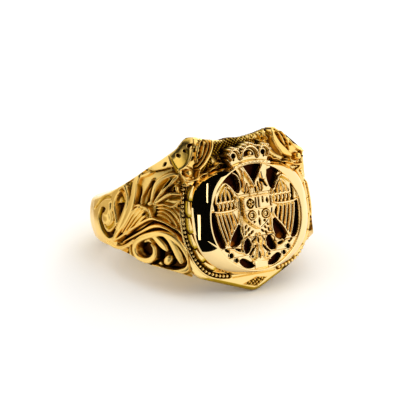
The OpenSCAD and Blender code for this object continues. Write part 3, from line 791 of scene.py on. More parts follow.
def domed_plaque():
    """Mirror-polished swelling between the frame and the medallion's rim."""
    n = 400
    a = np.linspace(-np.pi, np.pi, n, endpoint=False)[:, None]
    foot = plaque_radius(a)
    lip = MEDAL_R + 0.16
    # part of a circle: upright at the foot, still sloping where it meets the rim
    last = np.radians(64)
    turn = np.linspace(0, last, 40)[None, :]
    r = foot - (foot - lip) * (1 - np.cos(turn)) / (1 - np.cos(last))
    low = FRAME_FRONT - 0.2
    y = low + (RIM_FRONT - low) * np.sin(turn) / np.sin(last)
    y = np.broadcast_to(y, r.shape)
    # over the lip and down the inside of the rim
    inner_r = [MEDAL_R + 0.06, MEDAL_R + 0.01, MEDAL_R, MEDAL_R, MEDAL_R]
    inner_y = [RIM_FRONT - 0.02, RIM_FRONT - 0.08, RIM_FRONT - 0.3, GROUND_FRONT - 0.1, low]
    r = np.hstack([r, np.broadcast_to(inner_r, (n, 5))])
    y = np.hstack([y, np.broadcast_to(inner_y, (n, 5))])
    rings = facing(r * np.cos(a), MEDAL_Z + r * np.sin(a), y)
    obj = tube_of_rings("mirror_plaque", rings, MIRROR, np.zeros(r.shape))
    piece(obj, "mirror_gold", "domed_plaque")


# ---------------------------------------------------------------- medallion
FIGURE = 14.3  # the flat front that feathers and outlines stand on


def carve_cavities(relief):
    """Openings that leave the eagle standing: each goes down to the dark ground."""
    sink = relief.sink
    floor = GROUND_FRONT
    beside_wing = [(6.0, 0.1), (5.5, 0.05), (5.3, -1.2), (5.0, -2.4), (4.6, -3.6), (4.7, -4.1),
            (5.3, -3.9), (5.8, -2.9), (6.0, -1.4)]
    under_wing = [(2.55, -1.5), (2.15, -2.0), (2.25, -3.0), (2.5, -3.8), (3.2, -4.15), (3.85, -4.0),
            (3.9, -3.3), (3.5, -2.6), (3.0, -2.0)]
    for _ in relief.both_sides():
        sink(beside_wing, floor)
        sink(under_wing, floor)
    # between wing and neck
    sink([(-4.15, 4.1), (-3.8, 4.6), (-3.1, 4.5), (-2.45, 4.2), (-2.1, 3.6), (-2.0, 2.8), (-2.25, 2.25),
            (-2.8, 2.5), (-3.3, 3.1), (-3.8, 3.5)], floor)
    sink([(-3.3, 4.9), (-2.8, 5.2), (-2.1, 4.85), (-1.65, 4.1), (-1.5, 3.1), (-1.6, 2.4), (-1.8, 3.0),
            (-1.85, 3.8), (-2.3, 4.5), (-2.9, 4.85)], floor)
    sink([(4.1, 4.0), (3.7, 4.65), (3.1, 4.65), (2.6, 4.4), (2.15, 4.2), (2.1, 3.2), (2.35, 2.3),
            (2.7, 2.0), (3.1, 2.5), (3.4, 3.2), (3.6, 3.7)], floor)
    # between the two necks
    sink([(-1.15, 5.05), (0.0, 5.2), (1.2, 5.05), (0.75, 4.2), (0.4, 3.1), (0.1, 2.9), (-0.5, 4.0)], floor)
    # beside the tail
    for _ in relief.both_sides():
        sink([(1.55, -3.35), (1.1, -3.7), (1.05, -4.3), (1.4, -5.0), (2.0, -5.15), (2.2, -4.6),
                (2.0, -3.9)], floor)
        sink([(2.9, -5.95), (2.5, -5.6), (1.9, -5.8), (1.2, -6.3), (0.9, -6.75), (1.6, -6.9), (2.4, -6.6)],
                floor)
        relief.groove([(1.35, -5.25, 0.2), (0.9, -4.85, 0.3), (0.5, -4.4, 0.2)], 0.6)
        relief.groove([(0.85, -3.85, 0.25), (0.4, -3.35, 0.2)], 0.5)


def carve_wing(relief):
    """Shoulder feathers, a row of scales, a bright band and long primaries."""
    ridge, groove = relief.ridge, relief.groove
    # long feathers with dark slots between them
    quills = [((5.35, -0.1), (5.1, -1.5), (4.75, -2.8), (4.45, -3.7), 0.34),
            ((4.85, -0.1), (4.65, -1.4), (4.35, -2.5), (4.1, -3.5), 0.36),
            ((4.35, -0.1), (4.15, -1.1), (3.95, -2.0), (3.8, -2.8), 0.32),
            ((3.8, -0.1), (3.65, -0.9), (3.5, -1.6), (3.35, -2.2), 0.32),
            ((3.25, -0.1), (3.1, -0.7), (2.95, -1.2), (2.8, -1.7), 0.3)]
    for a, b, c, d, w in quills:
        groove([(a[0] - 0.26, a[1] - 0.2, 0.14), (b[0] - 0.25, b[1], 0.26), (c[0] - 0.22, c[1] + 0.1, 0.2),
                (d[0] - 0.1, d[1] + 0.3, 0.1)], 0.7)
        ridge([(*a, w), (*b, w), (*c, w * 0.85), (*d, w * 0.5)], FIGURE + 0.3, base=FIGURE - 0.2)
    ridge([(4.2, -3.8, 0.2), (3.9, -3.2, 0.24), (3.45, -2.45, 0.26), (2.7, -1.55, 0.26),
            (2.35, -0.8, 0.24), (2.2, 0.0, 0.2)], FIGURE + 0.3)
    # bright band above the quills
    ridge([(5.8, 0.35, 0.2), (5.2, 0.2, 0.3), (4.2, 0.15, 0.32), (3.2, 0.2, 0.3), (2.6, 0.35, 0.2)],
            FIGURE + 0.4)
    # scales, each with a dark gap beside it
    for x in (2.75, 3.25, 3.8, 4.35, 4.9):
        groove([(x + 0.26, 0.45, 0.22), (x + 0.3, 1.0, 0.16)], 0.75)
        relief.bump((x, 0.85), 0.22, 0.42, FIGURE + 0.3, base=FIGURE - 0.2)
    # shoulder feathers
    for x0, x1, lean in ((2.9, 2.75, 0.6), (3.45, 3.3, 0.45), (3.95, 3.95, 0.25), (4.5, 4.6, 0.0)):
        groove([(x0 + lean * 0.3, 2.4, 0.12), (x1 + 0.25, 1.5, 0.3)], 0.7)
        ridge([(3.6 + (x0 - 3.6) * 0.35, 3.0, 0.2), (x0, 2.2, 0.3), (x1, 1.45, 0.2)],
                FIGURE + 0.35, base=FIGURE - 0.1)
    groove([(5.35, 2.1, 0.3), (5.4, 1.3, 0.35), (5.3, 0.6, 0.4)], 0.75)
    # leading edge
    ridge([(6.0, 0.7, 0.2), (5.9, 1.6, 0.3), (5.4, 2.4, 0.34), (4.7, 3.0, 0.36), (4.0, 3.4, 0.3),
            (3.55, 3.3, 0.2)], FIGURE + 0.45)
    groove([(3.7, 2.95, 0.1), (3.2, 2.2, 0.16), (2.6, 1.4, 0.12)], 0.5)
    ridge([(3.65, 3.3, 0.16), (3.1, 2.5, 0.2), (2.55, 1.8, 0.2), (2.25, 1.2, 0.16)], FIGURE + 0.4)


def carve_heads(relief):
    """Two necks leaning apart, with thin bright outlines."""
    ridge = relief.ridge
    top = FIGURE + 0.45
    ridge([(-4.3, 3.3, 0.16), (-4.4, 3.9, 0.18), (-4.0, 4.75, 0.2), (-3.4, 4.75, 0.2), (-2.6, 4.45, 0.2),
            (-2.1, 4.05, 0.18), (-1.88, 3.4, 0.16), (-1.9, 2.6, 0.16), (-2.15, 2.1, 0.18),
            (-2.6, 2.15, 0.16), (-3.2, 2.9, 0.16), (-3.7, 3.45, 0.16)], top)
    ridge([(-2.9, 5.45, 0.2), (-2.1, 5.3, 0.24), (-1.5, 4.8, 0.24), (-1.3, 4.2, 0.2), (-1.35, 3.2, 0.18),
            (-1.4, 2.2, 0.2)], top)
    for _ in relief.both_sides():
        ridge([(1.75, 5.45, 0.3), (1.3, 4.9, 0.34), (0.8, 4.1, 0.32), (0.35, 3.3, 0.3), (0.05, 2.6, 0.26)],
                top + 0.1)
        # collar feathers
        for x, z in ((0.35, 2.5), (0.75, 3.0), (1.1, 3.3)):
            relief.groove([(x, z, 0.14), (x + 0.06, 2.0, 0.24)], 0.6)
            relief.bump((x + 0.2, (z + 1.8) / 2), 0.15, 0.5, FIGURE + 0.3, base=FIGURE - 0.1)
    # lit side of the right neck
    relief.plate([(1.15, 5.5), (2.05, 5.5), (2.05, 4.4), (1.85, 3.4), (1.5, 3.1), (1.1, 3.4), (0.95, 4.4)],
            top, bevel=0.3)
    relief.groove([(1.25, 3.2, 0.2), (1.6, 2.85, 0.4), (1.95, 2.4, 0.2)], 0.6)
    ridge([(2.05, 5.4, 0.2), (2.6, 4.75, 0.2), (3.3, 4.95, 0.24), (4.0, 4.7, 0.2), (4.35, 4.1, 0.16)], top)


def carve_body(relief):
    """Thigh feathers, legs, tail and the small ornaments under the claws."""
    ridge, groove = relief.ridge, relief.groove
    for _ in relief.both_sides():
        for x, z, lean in ((1.5, -2.0, -60), (1.15, -2.35, -50), (1.6, -2.7, -70), (0.75, -2.75, -40),
                (1.2, -3.05, -60)):
            groove(dash(x, z, lean, 0.2, 0.14, 0.26), 0.55)
        ridge([(2.05, -0.6, 0.3), (2.0, -1.6, 0.34), (1.95, -2.6, 0.3), (2.2, -3.4, 0.2)], FIGURE + 0.3)
        ridge([(1.0, -3.3, 0.16), (1.45, -3.2, 0.2), (2.05, -3.5, 0.2), (2.35, -4.4, 0.18),
                (2.15, -5.2, 0.18)], FIGURE + 0.35)
        ridge([(0.55, -3.3, 0.2), (0.85, -4.1, 0.24), (0.7, -4.7, 0.2)], FIGURE + 0.25)
        # tail edge
        ridge([(0.2, -3.0, 0.2), (0.42, -3.7, 0.22), (0.22, -4.4, 0.2), (0.42, -5.2, 0.24),
                (0.5, -5.8, 0.22), (1.2, -6.15, 0.2)], FIGURE + 0.4)
        relief.bump((1.15, -5.55), 0.36, 0.34, FIGURE + 0.35, base=FIGURE - 0.3)
        relief.drill((1.15, -5.55), 0.18, FIGURE - 0.2)
        ridge([(2.4, -4.95, 0.2), (3.0, -4.75, 0.2), (3.6, -4.35, 0.2), (4.3, -4.3, 0.16)], FIGURE + 0.3)
        groove([(2.6, -4.55, 0.16), (2.95, -4.5, 0.3), (3.3, -4.4, 0.16)], 0.7)
        groove([(4.25, -4.5, 0.3), (4.55, -4.3, 0.3)], 0.6)
    groove([(0, -3.45, 0.14), (0, -3.75, 0.32), (0, -4.05, 0.14)], 0.6)
    groove([(0, -5.15, 0.14), (0, -5.5, 0.36), (0, -5.85, 0.14)], 0.6)
    relief.plate([(-0.7, -6.2), (0.7, -6.2), (1.1, -6.6), (0.9, -7.05), (-0.9, -7.05), (-1.1, -6.6)],
            FIGURE + 0.1, bevel=0.2, smooth=False)


def medallion():
    """One carved disc, parted into the pieces of the eagle."""
    whole = field(-6.35, 6.35, MEDAL_Z - 6.35, MEDAL_Z + 6.9, FIGURE)
    carve_body(whole)
    for _ in whole.both_sides():
        carve_wing(whole)
    carve_heads(whole)
    carve_cavities(whole)
    # hollow beads on the lower rim
    for _ in whole.both_sides():
        for x, z, r in ((3.95, -5.05, 0.5), (3.3, -5.7, 0.45)):
            whole.bump((x, z), r, r, FIGURE + 0.25, base=FIGURE - 0.3)
            whole.drill((x, z), r * 0.62, GROUND_FRONT + 0.1)
    whole.h = blurred(whole.h, 1)
    u, v = whole.u, whole.v
    side = np.abs(u)
    neck_width = np.minimum(4.45 - 0.3 * (v - 1.75), 2.35 + 0.95 * np.clip(v - 1.8, 0, 2.2))
    # each piece takes its share of what the ones before it leave
    left_over = np.hypot(u, v - MEDAL_Z) < MEDAL_R + 0.03
    share = {}
    for name, wanted in (("neck", (v > 1.75) & (side < neck_width)), ("wing", (side > 2.12) & (v > -4.2)),
            ("breast", v > -3.3), ("tail", side < 0.95), ("claw", v > -5.35), ("beads", True)):
        share[name] = left_over & wanted
        left_over = left_over & ~share[name]
    hollow = whole.hollowness(near=3, wide=9, gain=2.0)
    parts = [("eagle_breast", share["breast"], "eagle_body"), ("eagle_tail", share["tail"], "tail")]
    for name, here in (("left", u < 0), ("right", u > 0)):
        parts += [(name + "_eagle_wing", share["wing"] & here, name + "_wing"),
                (name + "_eagle_neck", share["neck"] & (here | (u == 0)), name + "_head"),
                (name + "_eagle_claw", share["claw"] & here, name + "_claw"),
                (name + "_ground_beads", share["beads"] & here, name + "_rim_beads")]
    for name, mask, node in parts:
        part = Relief(u, v, GROUND_FRONT)
        part.h = np.where(mask, whole.h, GROUND_FRONT)
        obj = relief_solid(name, part, facing, GROUND_FRONT - 0.15, RELIEF, hollow, cut=0.12, inset=True)
        piece(obj, "relief_gold", node)


def medallion_ground():
    """Dark floor of the medallion, faintly uneven."""
    n, m = 240, 50
    a = np.linspace(-np.pi, np.pi, n, endpoint=False)[:, None]
    r = np.linspace(0.02, MEDAL_R + 0.03, m)[None, :]
    x, z = r * np.cos(a), MEDAL_Z + r * np.sin(a)
    front = facing(x, z, GROUND_FRONT + 0.015 * np.sin(9 * x) * np.sin(9 * z))
    back = facing(x, z, np.full_like(x, GROUND_FRONT - 0.8))
    rings = np.concatenate([front, back[:, ::-1]], 1)
    # a painted warm glow, for the light that the lower walls throw back
    glow = np.zeros(rings.shape[:2])
    spots = (4.85, -3.9, 0.5), (3.5, -4.1, 0.65), (3.9, 3.3, 0.5), (2.2, 2.5, 0.4), (1.6, -5.2, 0.4)
    for sx in (-1, 1):
        for px, pz, reach in spots:
            glow += np.exp(-((rings[..., 0] - sx * px) ** 2 + (rings[..., 2] - pz) ** 2) / reach**2)
    obj = tube_of_rings("medallion_floor", rings, SHADOWED, np.clip(1 - glow, 0, 1), flip=True)
    piece(obj, "shadowed_gold", "medallion_ground")


# ---------------------------------------------------------------- shield and crown
def breast_shield():
    """Quartered shield with plain charges: a rosette, bars and two rings."""
    top = SHIELD_FRONT - 0.3
    relief = field(-2.2, 2.2, -2.9, 1.9, GROUND_FRONT, 0.04)
    ridge, groove = relief.ridge, relief.groove
    outline = ring([(0, 1.66), (1.0, 1.62), (1.95, 1.55), (2.0, 0.6), (1.98, -0.3), (1.7, -1.1),
            (1.05, -1.85), (0.35, -2.35), (0, -2.55)])
    relief.plate(outline, top, bevel=0.22)
    groove(arch([(0, 1.46, 0.18), (1.8, 1.4, 0.16)]), 0.5)
    rim = [(x * 0.93, -0.3 + (z + 0.3) * 0.9, 0.2) for x, z in outline]
    ridge(rim, top + 0.16, base=top - 0.1, closed=True)
    ridge(arch([(0, 0.02, 0.22), (1.9, -0.02, 0.2)]), top + 0.14, base=top - 0.1)
    # upper left: rosette between bars
    relief.bump((-1.0, 0.68), 0.45, 0.45, top + 0.16, base=top - 0.15, moat=0.1)
    for k in range(5):
        a = 2 * np.pi * k / 5 + 0.3
        groove([(-1.0, 0.68, 0.06), (-1.0 + 0.45 * np.cos(a), 0.68 + 0.45 * np.sin(a), 0.2)], 0.35)
    for x in (-0.25, 0.15):
        groove([(x, 1.25, 0.16), (x, 0.2, 0.2)], 0.55)
    # upper right: bars and a small lozenge
    groove([(0.72, 1.25, 0.16), (0.72, 0.7, 0.22)], 0.55)
    groove([(1.35, 1.1, 0.12), (1.35, 0.8, 0.42), (1.35, 0.5, 0.1)], 0.5)
    groove([(1.78, 1.2, 0.12), (1.78, 0.2, 0.16)], 0.5)
    # lower quarters: two rings and a pointed drop between them
    for x in (-0.95, 0.95):
        ridge(arc((x, -0.72), 0.4, 0, 320, 0.2, n=9), top + 0.2, base=top - 0.35, moat=0.06, closed=True)
        relief.bump((x, -0.72), 0.14, 0.14, top + 0.1, base=top - 0.3)
    groove([(0, -0.3, 0.1), (0, -0.75, 0.16)], 0.4)
    groove([(0, -1.15, 0.12), (0, -1.5, 0.3), (0, -1.95, 0.14)], 0.6)
    groove([(0.7, -1.5, 0.34), (0.75, -1.45, 0.2)], 0.5)
    groove([(-0.7, -1.5, 0.3), (-0.75, -1.45, 0.2)], 0.4)
    # every deep cell is painted fully dark as shade
    relief.shade_and_tarnish[relief.h < top - 0.45] = 1
    relief.h = blurred(relief.h, 1)
    hollow = relief.hollowness(near=3, wide=9, gain=2.2)
    obj = relief_solid("quartered_shield", relief, facing, GROUND_FRONT, RELIEF, hollow, cut=0.1)
    piece(obj, "relief_gold", "breast_shield")


def crown():
    """Open crown: a banded foot, a centre arch with a pearl, side loops and beads along the top."""
    back, top = 13.6, 14.6
    relief = field(-3.1, 3.1, 4.6, 8.0, back, 0.04)
    ridge = relief.ridge
    relief.plate(ring([(0, 5.3), (1.2, 5.2), (2.4, 4.85), (2.85, 6.3), (2.75, 7.2), (2.0, 7.25), (1.3, 7.1),
            (0.7, 7.5), (0, 7.65)]), top - 0.45, bevel=0.15, smooth=False)
    ridge(arch([(0, 5.47, 0.5), (1.2, 5.38, 0.5), (2.4, 5.1, 0.5)]), top + 0.25)
    for k in range(9):
        x = -2.0 + 0.5 * k
        z = 5.47 - 0.065 * x * x
        relief.groove([(x - 0.1, z, 0.1), (x + 0.1, z, 0.1)], 0.2)
    # centre arch and pearl
    ridge(arch([(0, 7.3, 0.36), (0.5, 7.2, 0.36), (1.0, 6.7, 0.36), (1.15, 6.0, 0.3)]), top + 0.1, moat=0.08)
    relief.sink(ring([(0, 6.95), (0.6, 6.65), (0.7, 6.15), (0, 6.05)]), back + 0.35)
    relief.bump((0.05, 6.5), 0.3, 0.28, top + 0.05, base=back + 0.2)
    ridge(arch([(0, 6.2, 0.2), (0.55, 6.15, 0.16)]), top - 0.15)
    for _ in relief.both_sides():
        ridge([(1.3, 6.05, 0.22), (1.45, 6.75, 0.26), (1.9, 7.1, 0.28), (2.4, 7.0, 0.28), (2.7, 6.5, 0.26),
                (2.5, 6.0, 0.22)], top, moat=0.06)
        relief.drill((2.05, 6.4), 0.34, back + 0.05, wall=0.12)
        relief.drill((2.1, 5.95), 0.15, back + 0.3)
        relief.groove([(1.05, 7.2, 0.12), (1.3, 6.85, 0.22), (1.28, 6.4, 0.12)], 0.6)
    # beads along the outline
    for x, z in arch([(0, 7.65), (0.5, 7.5), (1.0, 7.25), (1.55, 7.15), (2.1, 7.3), (2.6, 7.15),
            (2.85, 6.65)]):
        relief.bump((x, z), 0.19, 0.19, top + 0.08, base=back + 0.3)
    hollow = relief.hollowness(near=3, wide=9, gain=1.6)
    obj = relief_solid("open_crown", relief, facing, FRAME_FRONT + 0.1, RELIEF, hollow, cut=0.06)
    piece(obj, "relief_gold", "crown")


# ---------------------------------------------------------------- crest: ears, chief panel
TOP_LINE = [(-9.0, 7.4), (-8.1, 8.0), (-7.3, 8.75), (-6.5, 9.2), (-5.8, 9.15), (-4.8, 8.8), (-3.6, 8.5),
        (-2.4, 8.4), (-1.2, 8.55), (0.0, 8.4), (1.2, 8.45), (2.6, 8.65), (4.0, 8.95), (5.0, 9.05),
        (5.6, 8.6), (6.2, 8.0), (6.8, 7.45), (7.4, 6.95), (8.1, 6.5), (8.9, 5.95)]


def crest():
    """The upper border: rolled ears with leaf work outside them and a stippled panel between."""
    relief = field(-9.1, 9.0, 3.6, 9.3, 11.6, 0.055)
    ridge, groove, sink = relief.ridge, relief.groove, relief.sink
    u, v = relief.u, relief.v
    line = np.array(TOP_LINE)
    top = np.interp(u, line[:, 0], line[:, 1])
    side = np.abs(u)
    # leaf ground, falling off outside the line where the plain facet starts
    facet = spline([(8.9, 5.6, 0), (7.9, 6.0, 0), (7.2, 6.6, 0), (6.7, 7.5, 0), (6.25, 9.4, 0)])
    away = v - np.interp(side, facet[::-1, 0], facet[::-1, 1])
    border = np.interp(v, facet[:, 1], facet[:, 0])
    outside = (side > border) & (v > 5.6)
    relief.h[:] = 12.75
    relief.h[outside] = (12.75 - 0.52 * away)[outside]
    # the plain facet that leans back is darkened a little with painted shade
    relief.shade_and_tarnish[outside] = 0.25
    # chief panel, punched all over; painted shade and tarnish lie between the grains, and painted shade
    # darkens its left part
    panel = side < np.interp(v, [4.9, 5.4, 6.05, 6.75, 7.6, 8.6], [6.0, 5.6, 5.05, 4.55, 4.15, 3.9])
    grain = np.clip(0.3 + punched(u, v, 14, 2.2, (2.3, 3.1)), 0, 1)
    relief.h[panel] = (12.3 + 0.3 * np.sqrt(grain))[panel]
    left_shade = smoothstep(-u, -1.5, 1.0)
    relief.shade_and_tarnish[panel] = ((1 - (0.75 - 0.3 * left_shade) * grain) * (0.45 + 0.55 * left_shade))[panel]
    # leaf work
    for sx in relief.both_sides():
        ridge([(6.4, 6.1, 0.3), (6.3, 7.0, 0.5), (6.0, 7.9, 0.5), (5.6, 8.7, 0.3)], 13.2)
        ridge([(6.0, 6.2, 0.3), (5.7, 7.0, 0.5), (5.4, 7.8, 0.45), (5.0, 8.5, 0.3)], 13.25)
        for x, z, w in ((5.95, 7.35, 0.34), (6.15, 6.85, 0.3), (5.75, 7.9, 0.26), (5.35, 8.3, 0.34),
                (5.0, 8.1, 0.26), (5.6, 8.6, 0.26), (5.0, 8.6, 0.24), (6.4, 7.7, 0.26), (6.75, 6.75, 0.3),
                (5.55, 6.5, 0.26)):
            groove([(x - 0.12, z + 0.12, w * 0.6), (x + 0.1, z - 0.1, w)], 0.75 if sx < 0 else 0.4)
        ridge([(8.9, 5.55, 0.25), (7.9, 5.95, 0.3), (7.2, 6.6, 0.3), (6.75, 7.5, 0.3), (6.3, 9.0, 0.25)],
                12.95, base=12.3)
        # rolled strap: two narrow lips on the left, one broad lip over a deep gap on the right
        broad = 0.45 * (sx > 0)
        if sx > 0:
            # the deep gap is painted fully dark as shade
            groove([(3.7, 8.3, 0.3), (3.75, 7.5, 0.7), (4.2, 6.6, 0.9), (4.9, 5.85, 0.9), (5.7, 5.3, 0.6)],
                    0.5, shade_and_tarnish=1.0)
        ridge([(4.15, 8.6, 0.5), (4.4, 7.6, 0.6 + broad), (4.9, 6.75, 0.65 + broad),
                (5.55, 6.05, 0.65 + broad), (6.4, 5.4, 0.5)], 13.5, moat=0.1)
        if sx < 0:
            ridge([(4.6, 8.8, 0.26), (4.85, 7.8, 0.3), (5.3, 7.0, 0.3), (5.95, 6.25, 0.3),
                    (6.6, 5.75, 0.26)], 13.35, moat=0.06)
        # volute at the lower end
        relief.bump((7.6, 5.15), 0.62, 0.6, 13.3, moat=0.12)
        for a in range(0, 360, 60):
            x, z = 7.6 + 0.62 * np.cos(np.radians(a)), 5.15 + 0.62 * np.sin(np.radians(a))
            groove([(x, z, 0.22), (x - 0.12, z - 0.04, 0.22)], 0.6)
        sink([(7.0, 5.5), (6.4, 5.3), (6.3, 4.7), (6.7, 4.5), (7.0, 4.8)], 12.0)
        ridge([(8.4, 4.9, 0.3), (8.1, 4.3, 0.35), (7.3, 4.2, 0.3), (6.6, 4.45, 0.3), (6.3, 5.2, 0.3)], 13.3)
        sink([(7.9, 3.95), (7.3, 4.05), (6.5, 4.1), (6.1, 3.85), (6.4, 3.65), (7.2, 3.6)], 12.0)
        ridge([(8.2, 3.95, 0.25), (7.9, 3.6, 0.2), (7.0, 3.55, 0.16), (6.1, 3.7, 0.2), (5.85, 4.2, 0.2),
                (6.1, 4.9, 0.24)], 13.0)
    # drilled holes in the plain facets
    for _ in relief.both_sides():
        for x, z, r in ((6.6, 8.15, 0.32), (7.3, 7.7, 0.2), (8.2, 7.3, 0.22)):
            relief.drill((x, z), r, 11.7)
    # dark sinking beside the crown, and gold leafage on its right
    sink([(-3.7, 5.4), (-3.2, 5.4), (-3.0, 6.2), (-3.2, 6.8), (-3.8, 6.7), (-4.0, 6.0)], 12.0)
    for x, z, lean in ((2.0, 8.1, 30), (2.7, 8.2, 100), (3.3, 8.3, 60), (2.4, 7.7, 150), (3.1, 7.6, 20),
            (1.2, 8.2, 80), (3.6, 7.9, 120)):
        ridge(dash(x, z, lean, 0.3, 0.2, 0.34), 12.95)
    # wavy lip where the crest meets the plaque
    for _ in relief.both_sides():
        ridge([(6.4, 4.5, 0.16), (5.9, 4.75, 0.24), (5.2, 4.85, 0.18), (4.6, 5.2, 0.24), (4.0, 5.35, 0.18),
                (3.5, 5.75, 0.24), (2.7, 5.6, 0.16)], 13.35, base=12.6)
    # everything ends at the top line, rounded over
    gap = (top - v) * 0.8
    relief.h -= 0.5 * (1 - np.sqrt(np.clip(1 - (1 - np.clip(gap / 0.5, 0, 1)) ** 2, 0, 1)))
    relief.h = blurred(relief.h, 1)
    hollow = relief.hollowness(near=3, wide=9, gain=1.5)
    shown = (gap > 0) & (np.hypot(u, v - MEDAL_Z) > plaque_radius(np.arctan2(v - MEDAL_Z, u)) - 0.4)
    shown &= v > 3.6 + 1.35 * smoothstep(6.2 - side, 0, 1.2)
    shown &= side < np.interp(v, [3.6, 4.4, 5.0, 6.0, 9.0], [8.1, 8.35, 8.6, 8.9, 9.5]) - 0.25 * (u > 0)
    parts = [("left_rolled_ear", ~panel & (u < 0), "polished_gold", "left_ear_scroll"),
            ("right_rolled_ear", ~panel & (u > 0), "polished_gold", "right_ear_scroll"),
            ("stippled_chief", panel, "shadowed_gold", "chief_panel")]
    nothing, back = 11.0, 11.3
    for name, mask, slot, node in parts:
        part = Relief(u, v, nothing)
        part.h = np.where(shown & mask, relief.h, nothing)
        obj = relief_solid(name, part, facing, back, CARVED, hollow, cut=0.3, inset=True)
        piece(obj, slot, node)


shank()
shoulders()
bezel_frame()
bead_rows()
scallop_rows()
tip_panel()
domed_plaque()
medallion_ground()
medallion()
breast_shield()
crown()
crest()


# ---------------------------------------------------------------- floor, light and camera
def stage_mesh(name, corners, faces, material, unseen=()):
    """Part of the set: a mesh that the kinds of ray in unseen don't meet."""
    mesh = bpy.data.meshes.new(name)
    mesh.from_pydata([[c * MM for c in corner] for corner in corners], [], faces)
    mesh.materials.append(material)
    obj = bpy.data.objects.new(name, mesh)
    for ray in unseen:
        setattr(obj, "visible_" + ray, False)
    bpy.context.collection.objects.link(obj)
    return obj


def card(name, low_edge, high_edge, material):
    """A folding card between two rows of corners that only reflections see."""
    n = len(low_edge)
    faces = [(k, k + 1, n + k + 1, n + k) for k in range(n - 1)]
    return stage_mesh(name, low_edge + high_edge, faces, material, ("camera", "diffuse", "shadow"))


def upright(name, corners, low, high, material):
    """A card that stands on floor-plan corners."""
    return card(name, [(x, y, low) for x, y in corners], [(x, y, high) for x, y in corners], material)


def lying(name, near, far_x, material):
    """A card just above the floor, from a row of floor-plan corners out to far_x."""
    rows = [[(x, y, foot[2] + np.tan(tilt) * (y - foot[1]) + 0.5) for x, y in row]
            for row in (near, [(far_x, y) for _, y in near])]
    return card(name, *rows, material)


def flat_material(name, colour, emission=0.0):
    mat = bpy.data.materials.new(name)
    mat.use_nodes = True
    shader = mat.node_tree.nodes["Principled BSDF"]
    shader.inputs["Base Color"].default_value = (*colour, 1)
    shader.inputs["Roughness"].default_value = 0.9
    shader.inputs["Specular IOR Level"].default_value = 0.0
    if emission:
        shader.inputs["Emission Color"].default_value = (*colour, 1)
        shader.inputs["Emission Strength"].default_value = emission
    return mat


# the ring rests on the foot of its bezel and on the lower edge of its back
foot = np.array([0, -11.6, -9.80])
heel = np.array([0, 11.7, bottom_edge(11.7)])
along = (heel - foot) / np.linalg.norm(heel - foot)
floor_up = Vector((0, -along[2], along[1]))
tilt = np.arctan2(along[2], along[1])
FLOOR_REACH = 600
floor_corners = [(x * FLOOR_REACH, y * FLOOR_REACH, 0) for x, y in ((-1, -1), (1, -1), (1, 1), (-1, 1))]
pale = flat_material("pale_floor", (0.93, 0.925, 0.915))
floor = stage_mesh("floor", floor_corners, [(0, 1, 2, 3)], pale)
floor.location = Vector(foot) * MM
floor.rotation_euler = floor_up.to_track_quat("Z", "Y").to_euler()

world = bpy.data.worlds.new("soft_tent")
world.use_nodes = True
sky = world.node_tree.nodes["Background"].inputs
sky["Color"].default_value = (1.0, 0.995, 0.985, 1)
sky["Strength"].default_value = 0.93
bpy.context.scene.world = world


def lamp(name, where, size, power, colour=(1, 1, 1)):
    light = bpy.data.lights.new(name, "AREA")
    light.size = size * MM
    light.energy = power
    light.color = colour
    obj = bpy.data.objects.new(name, light)
    obj.location = Vector(where) * MM
    obj.rotation_euler = (Vector((0, -4, 0)) - Vector(where)).to_track_quat("-Z", "Y").to_euler()
    bpy.context.collection.objects.link(obj)
    return obj


lamp("key_light", (210, 70, 200), 110, 0.12)
lamp("front_light", (60, -260, 160), 160, 0.06)

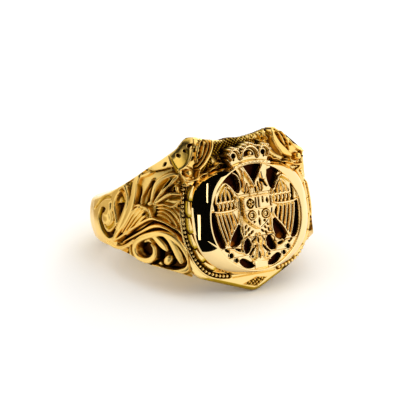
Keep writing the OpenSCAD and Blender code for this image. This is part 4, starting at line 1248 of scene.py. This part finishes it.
BLACK = flat_material("black_card", (0.004, 0.004, 0.004))
GREY = flat_material("grey_card", (0.44, 0.37, 0.24))
WHITE = flat_material("white_card", (0.9, 0.88, 0.84), emission=1.0)
upright("dark_left", [(-40, -16), (-38, -34), (-26, -44), (-10, -47)], -18, 105, BLACK)
upright("dark_upper_left", [(-25, -7), (-25, -17)], 4, 50, BLACK)
card("dark_overhead", [(-36, -48, 62), (9, -48, 62)], [(-36, 12, 62), (9, 12, 62)], BLACK)
lying("dark_floor", [(-13, -13), (-13, -47)], -40, BLACK)
lying("grey_floor", [(-20, 4), (-17, 14), (-10, 22), (-6, 60)], -60, GREY)
card("light_slit", [(-16.6, -39.5, 8), (-24.2, -34.2, 50)], [(-14.8, -40.4, 8), (-22.6, -35.5, 54)], WHITE)
card("light_streak", [(-19.9, -19.8, 0.8), (-20.5, -15.9, -8)],
        [(-17.8, -22.7, 0.8), (-19.5, -18.6, -8)], WHITE)

# a dark disc keeps the tent's light from falling through the finger hole onto the floor
FLAG_R = 6.5
turns = np.linspace(0, 2 * np.pi, 48, endpoint=False)
disc = [(FLAG_R * np.cos(t), FLAG_R * np.sin(t), 0) for t in turns]
stage_mesh("bore_flag", disc, [range(len(disc))], BLACK, ("camera", "glossy"))

# the camera stands where the photograph was taken from
VIEW_AZIMUTH, VIEW_ELEVATION, TABLE_TILT = np.radians([-32.185, 15.4, 12.165])
VIEW_DISTANCE = 300.0
PICTURE_WIDTH = 420 / 8.364  # of the plane through the ring, in millimetres
SHIFT_X, SHIFT_Y = -12.55 / 420, -2.92 / 420  # the ring sits a little right of and above the middle
table_up = np.array([0, -np.sin(TABLE_TILT), np.cos(TABLE_TILT)])
table_x = np.array([1.0, 0, 0])
table_y = np.cross(table_up, table_x)
towards_camera = (np.sin(VIEW_AZIMUTH) * np.cos(VIEW_ELEVATION) * table_x
        - np.cos(VIEW_AZIMUTH) * np.cos(VIEW_ELEVATION) * table_y
        + np.sin(VIEW_ELEVATION) * table_up)
right = np.cross(-towards_camera, table_up)
right /= np.linalg.norm(right)
up = np.cross(right, -towards_camera)
target = np.array([0, -7.0, 0])
camera = bpy.data.cameras.new("camera")
camera.lens = VIEW_DISTANCE / PICTURE_WIDTH * camera.sensor_width
camera.shift_x, camera.shift_y = SHIFT_X, SHIFT_Y
camera.clip_start = 0.001
view = bpy.data.objects.new("camera", camera)
place = Matrix([[*axis] for axis in zip(right, up, towards_camera)]).to_4x4()
place.translation = Vector(target + VIEW_DISTANCE * towards_camera) * MM
view.matrix_world = place
bpy.context.collection.objects.link(view)
bpy.context.scene.camera = view
bpy.context.scene.view_settings.view_transform = "Standard"
bpy.context.scene.view_settings.look = "Medium High Contrast"
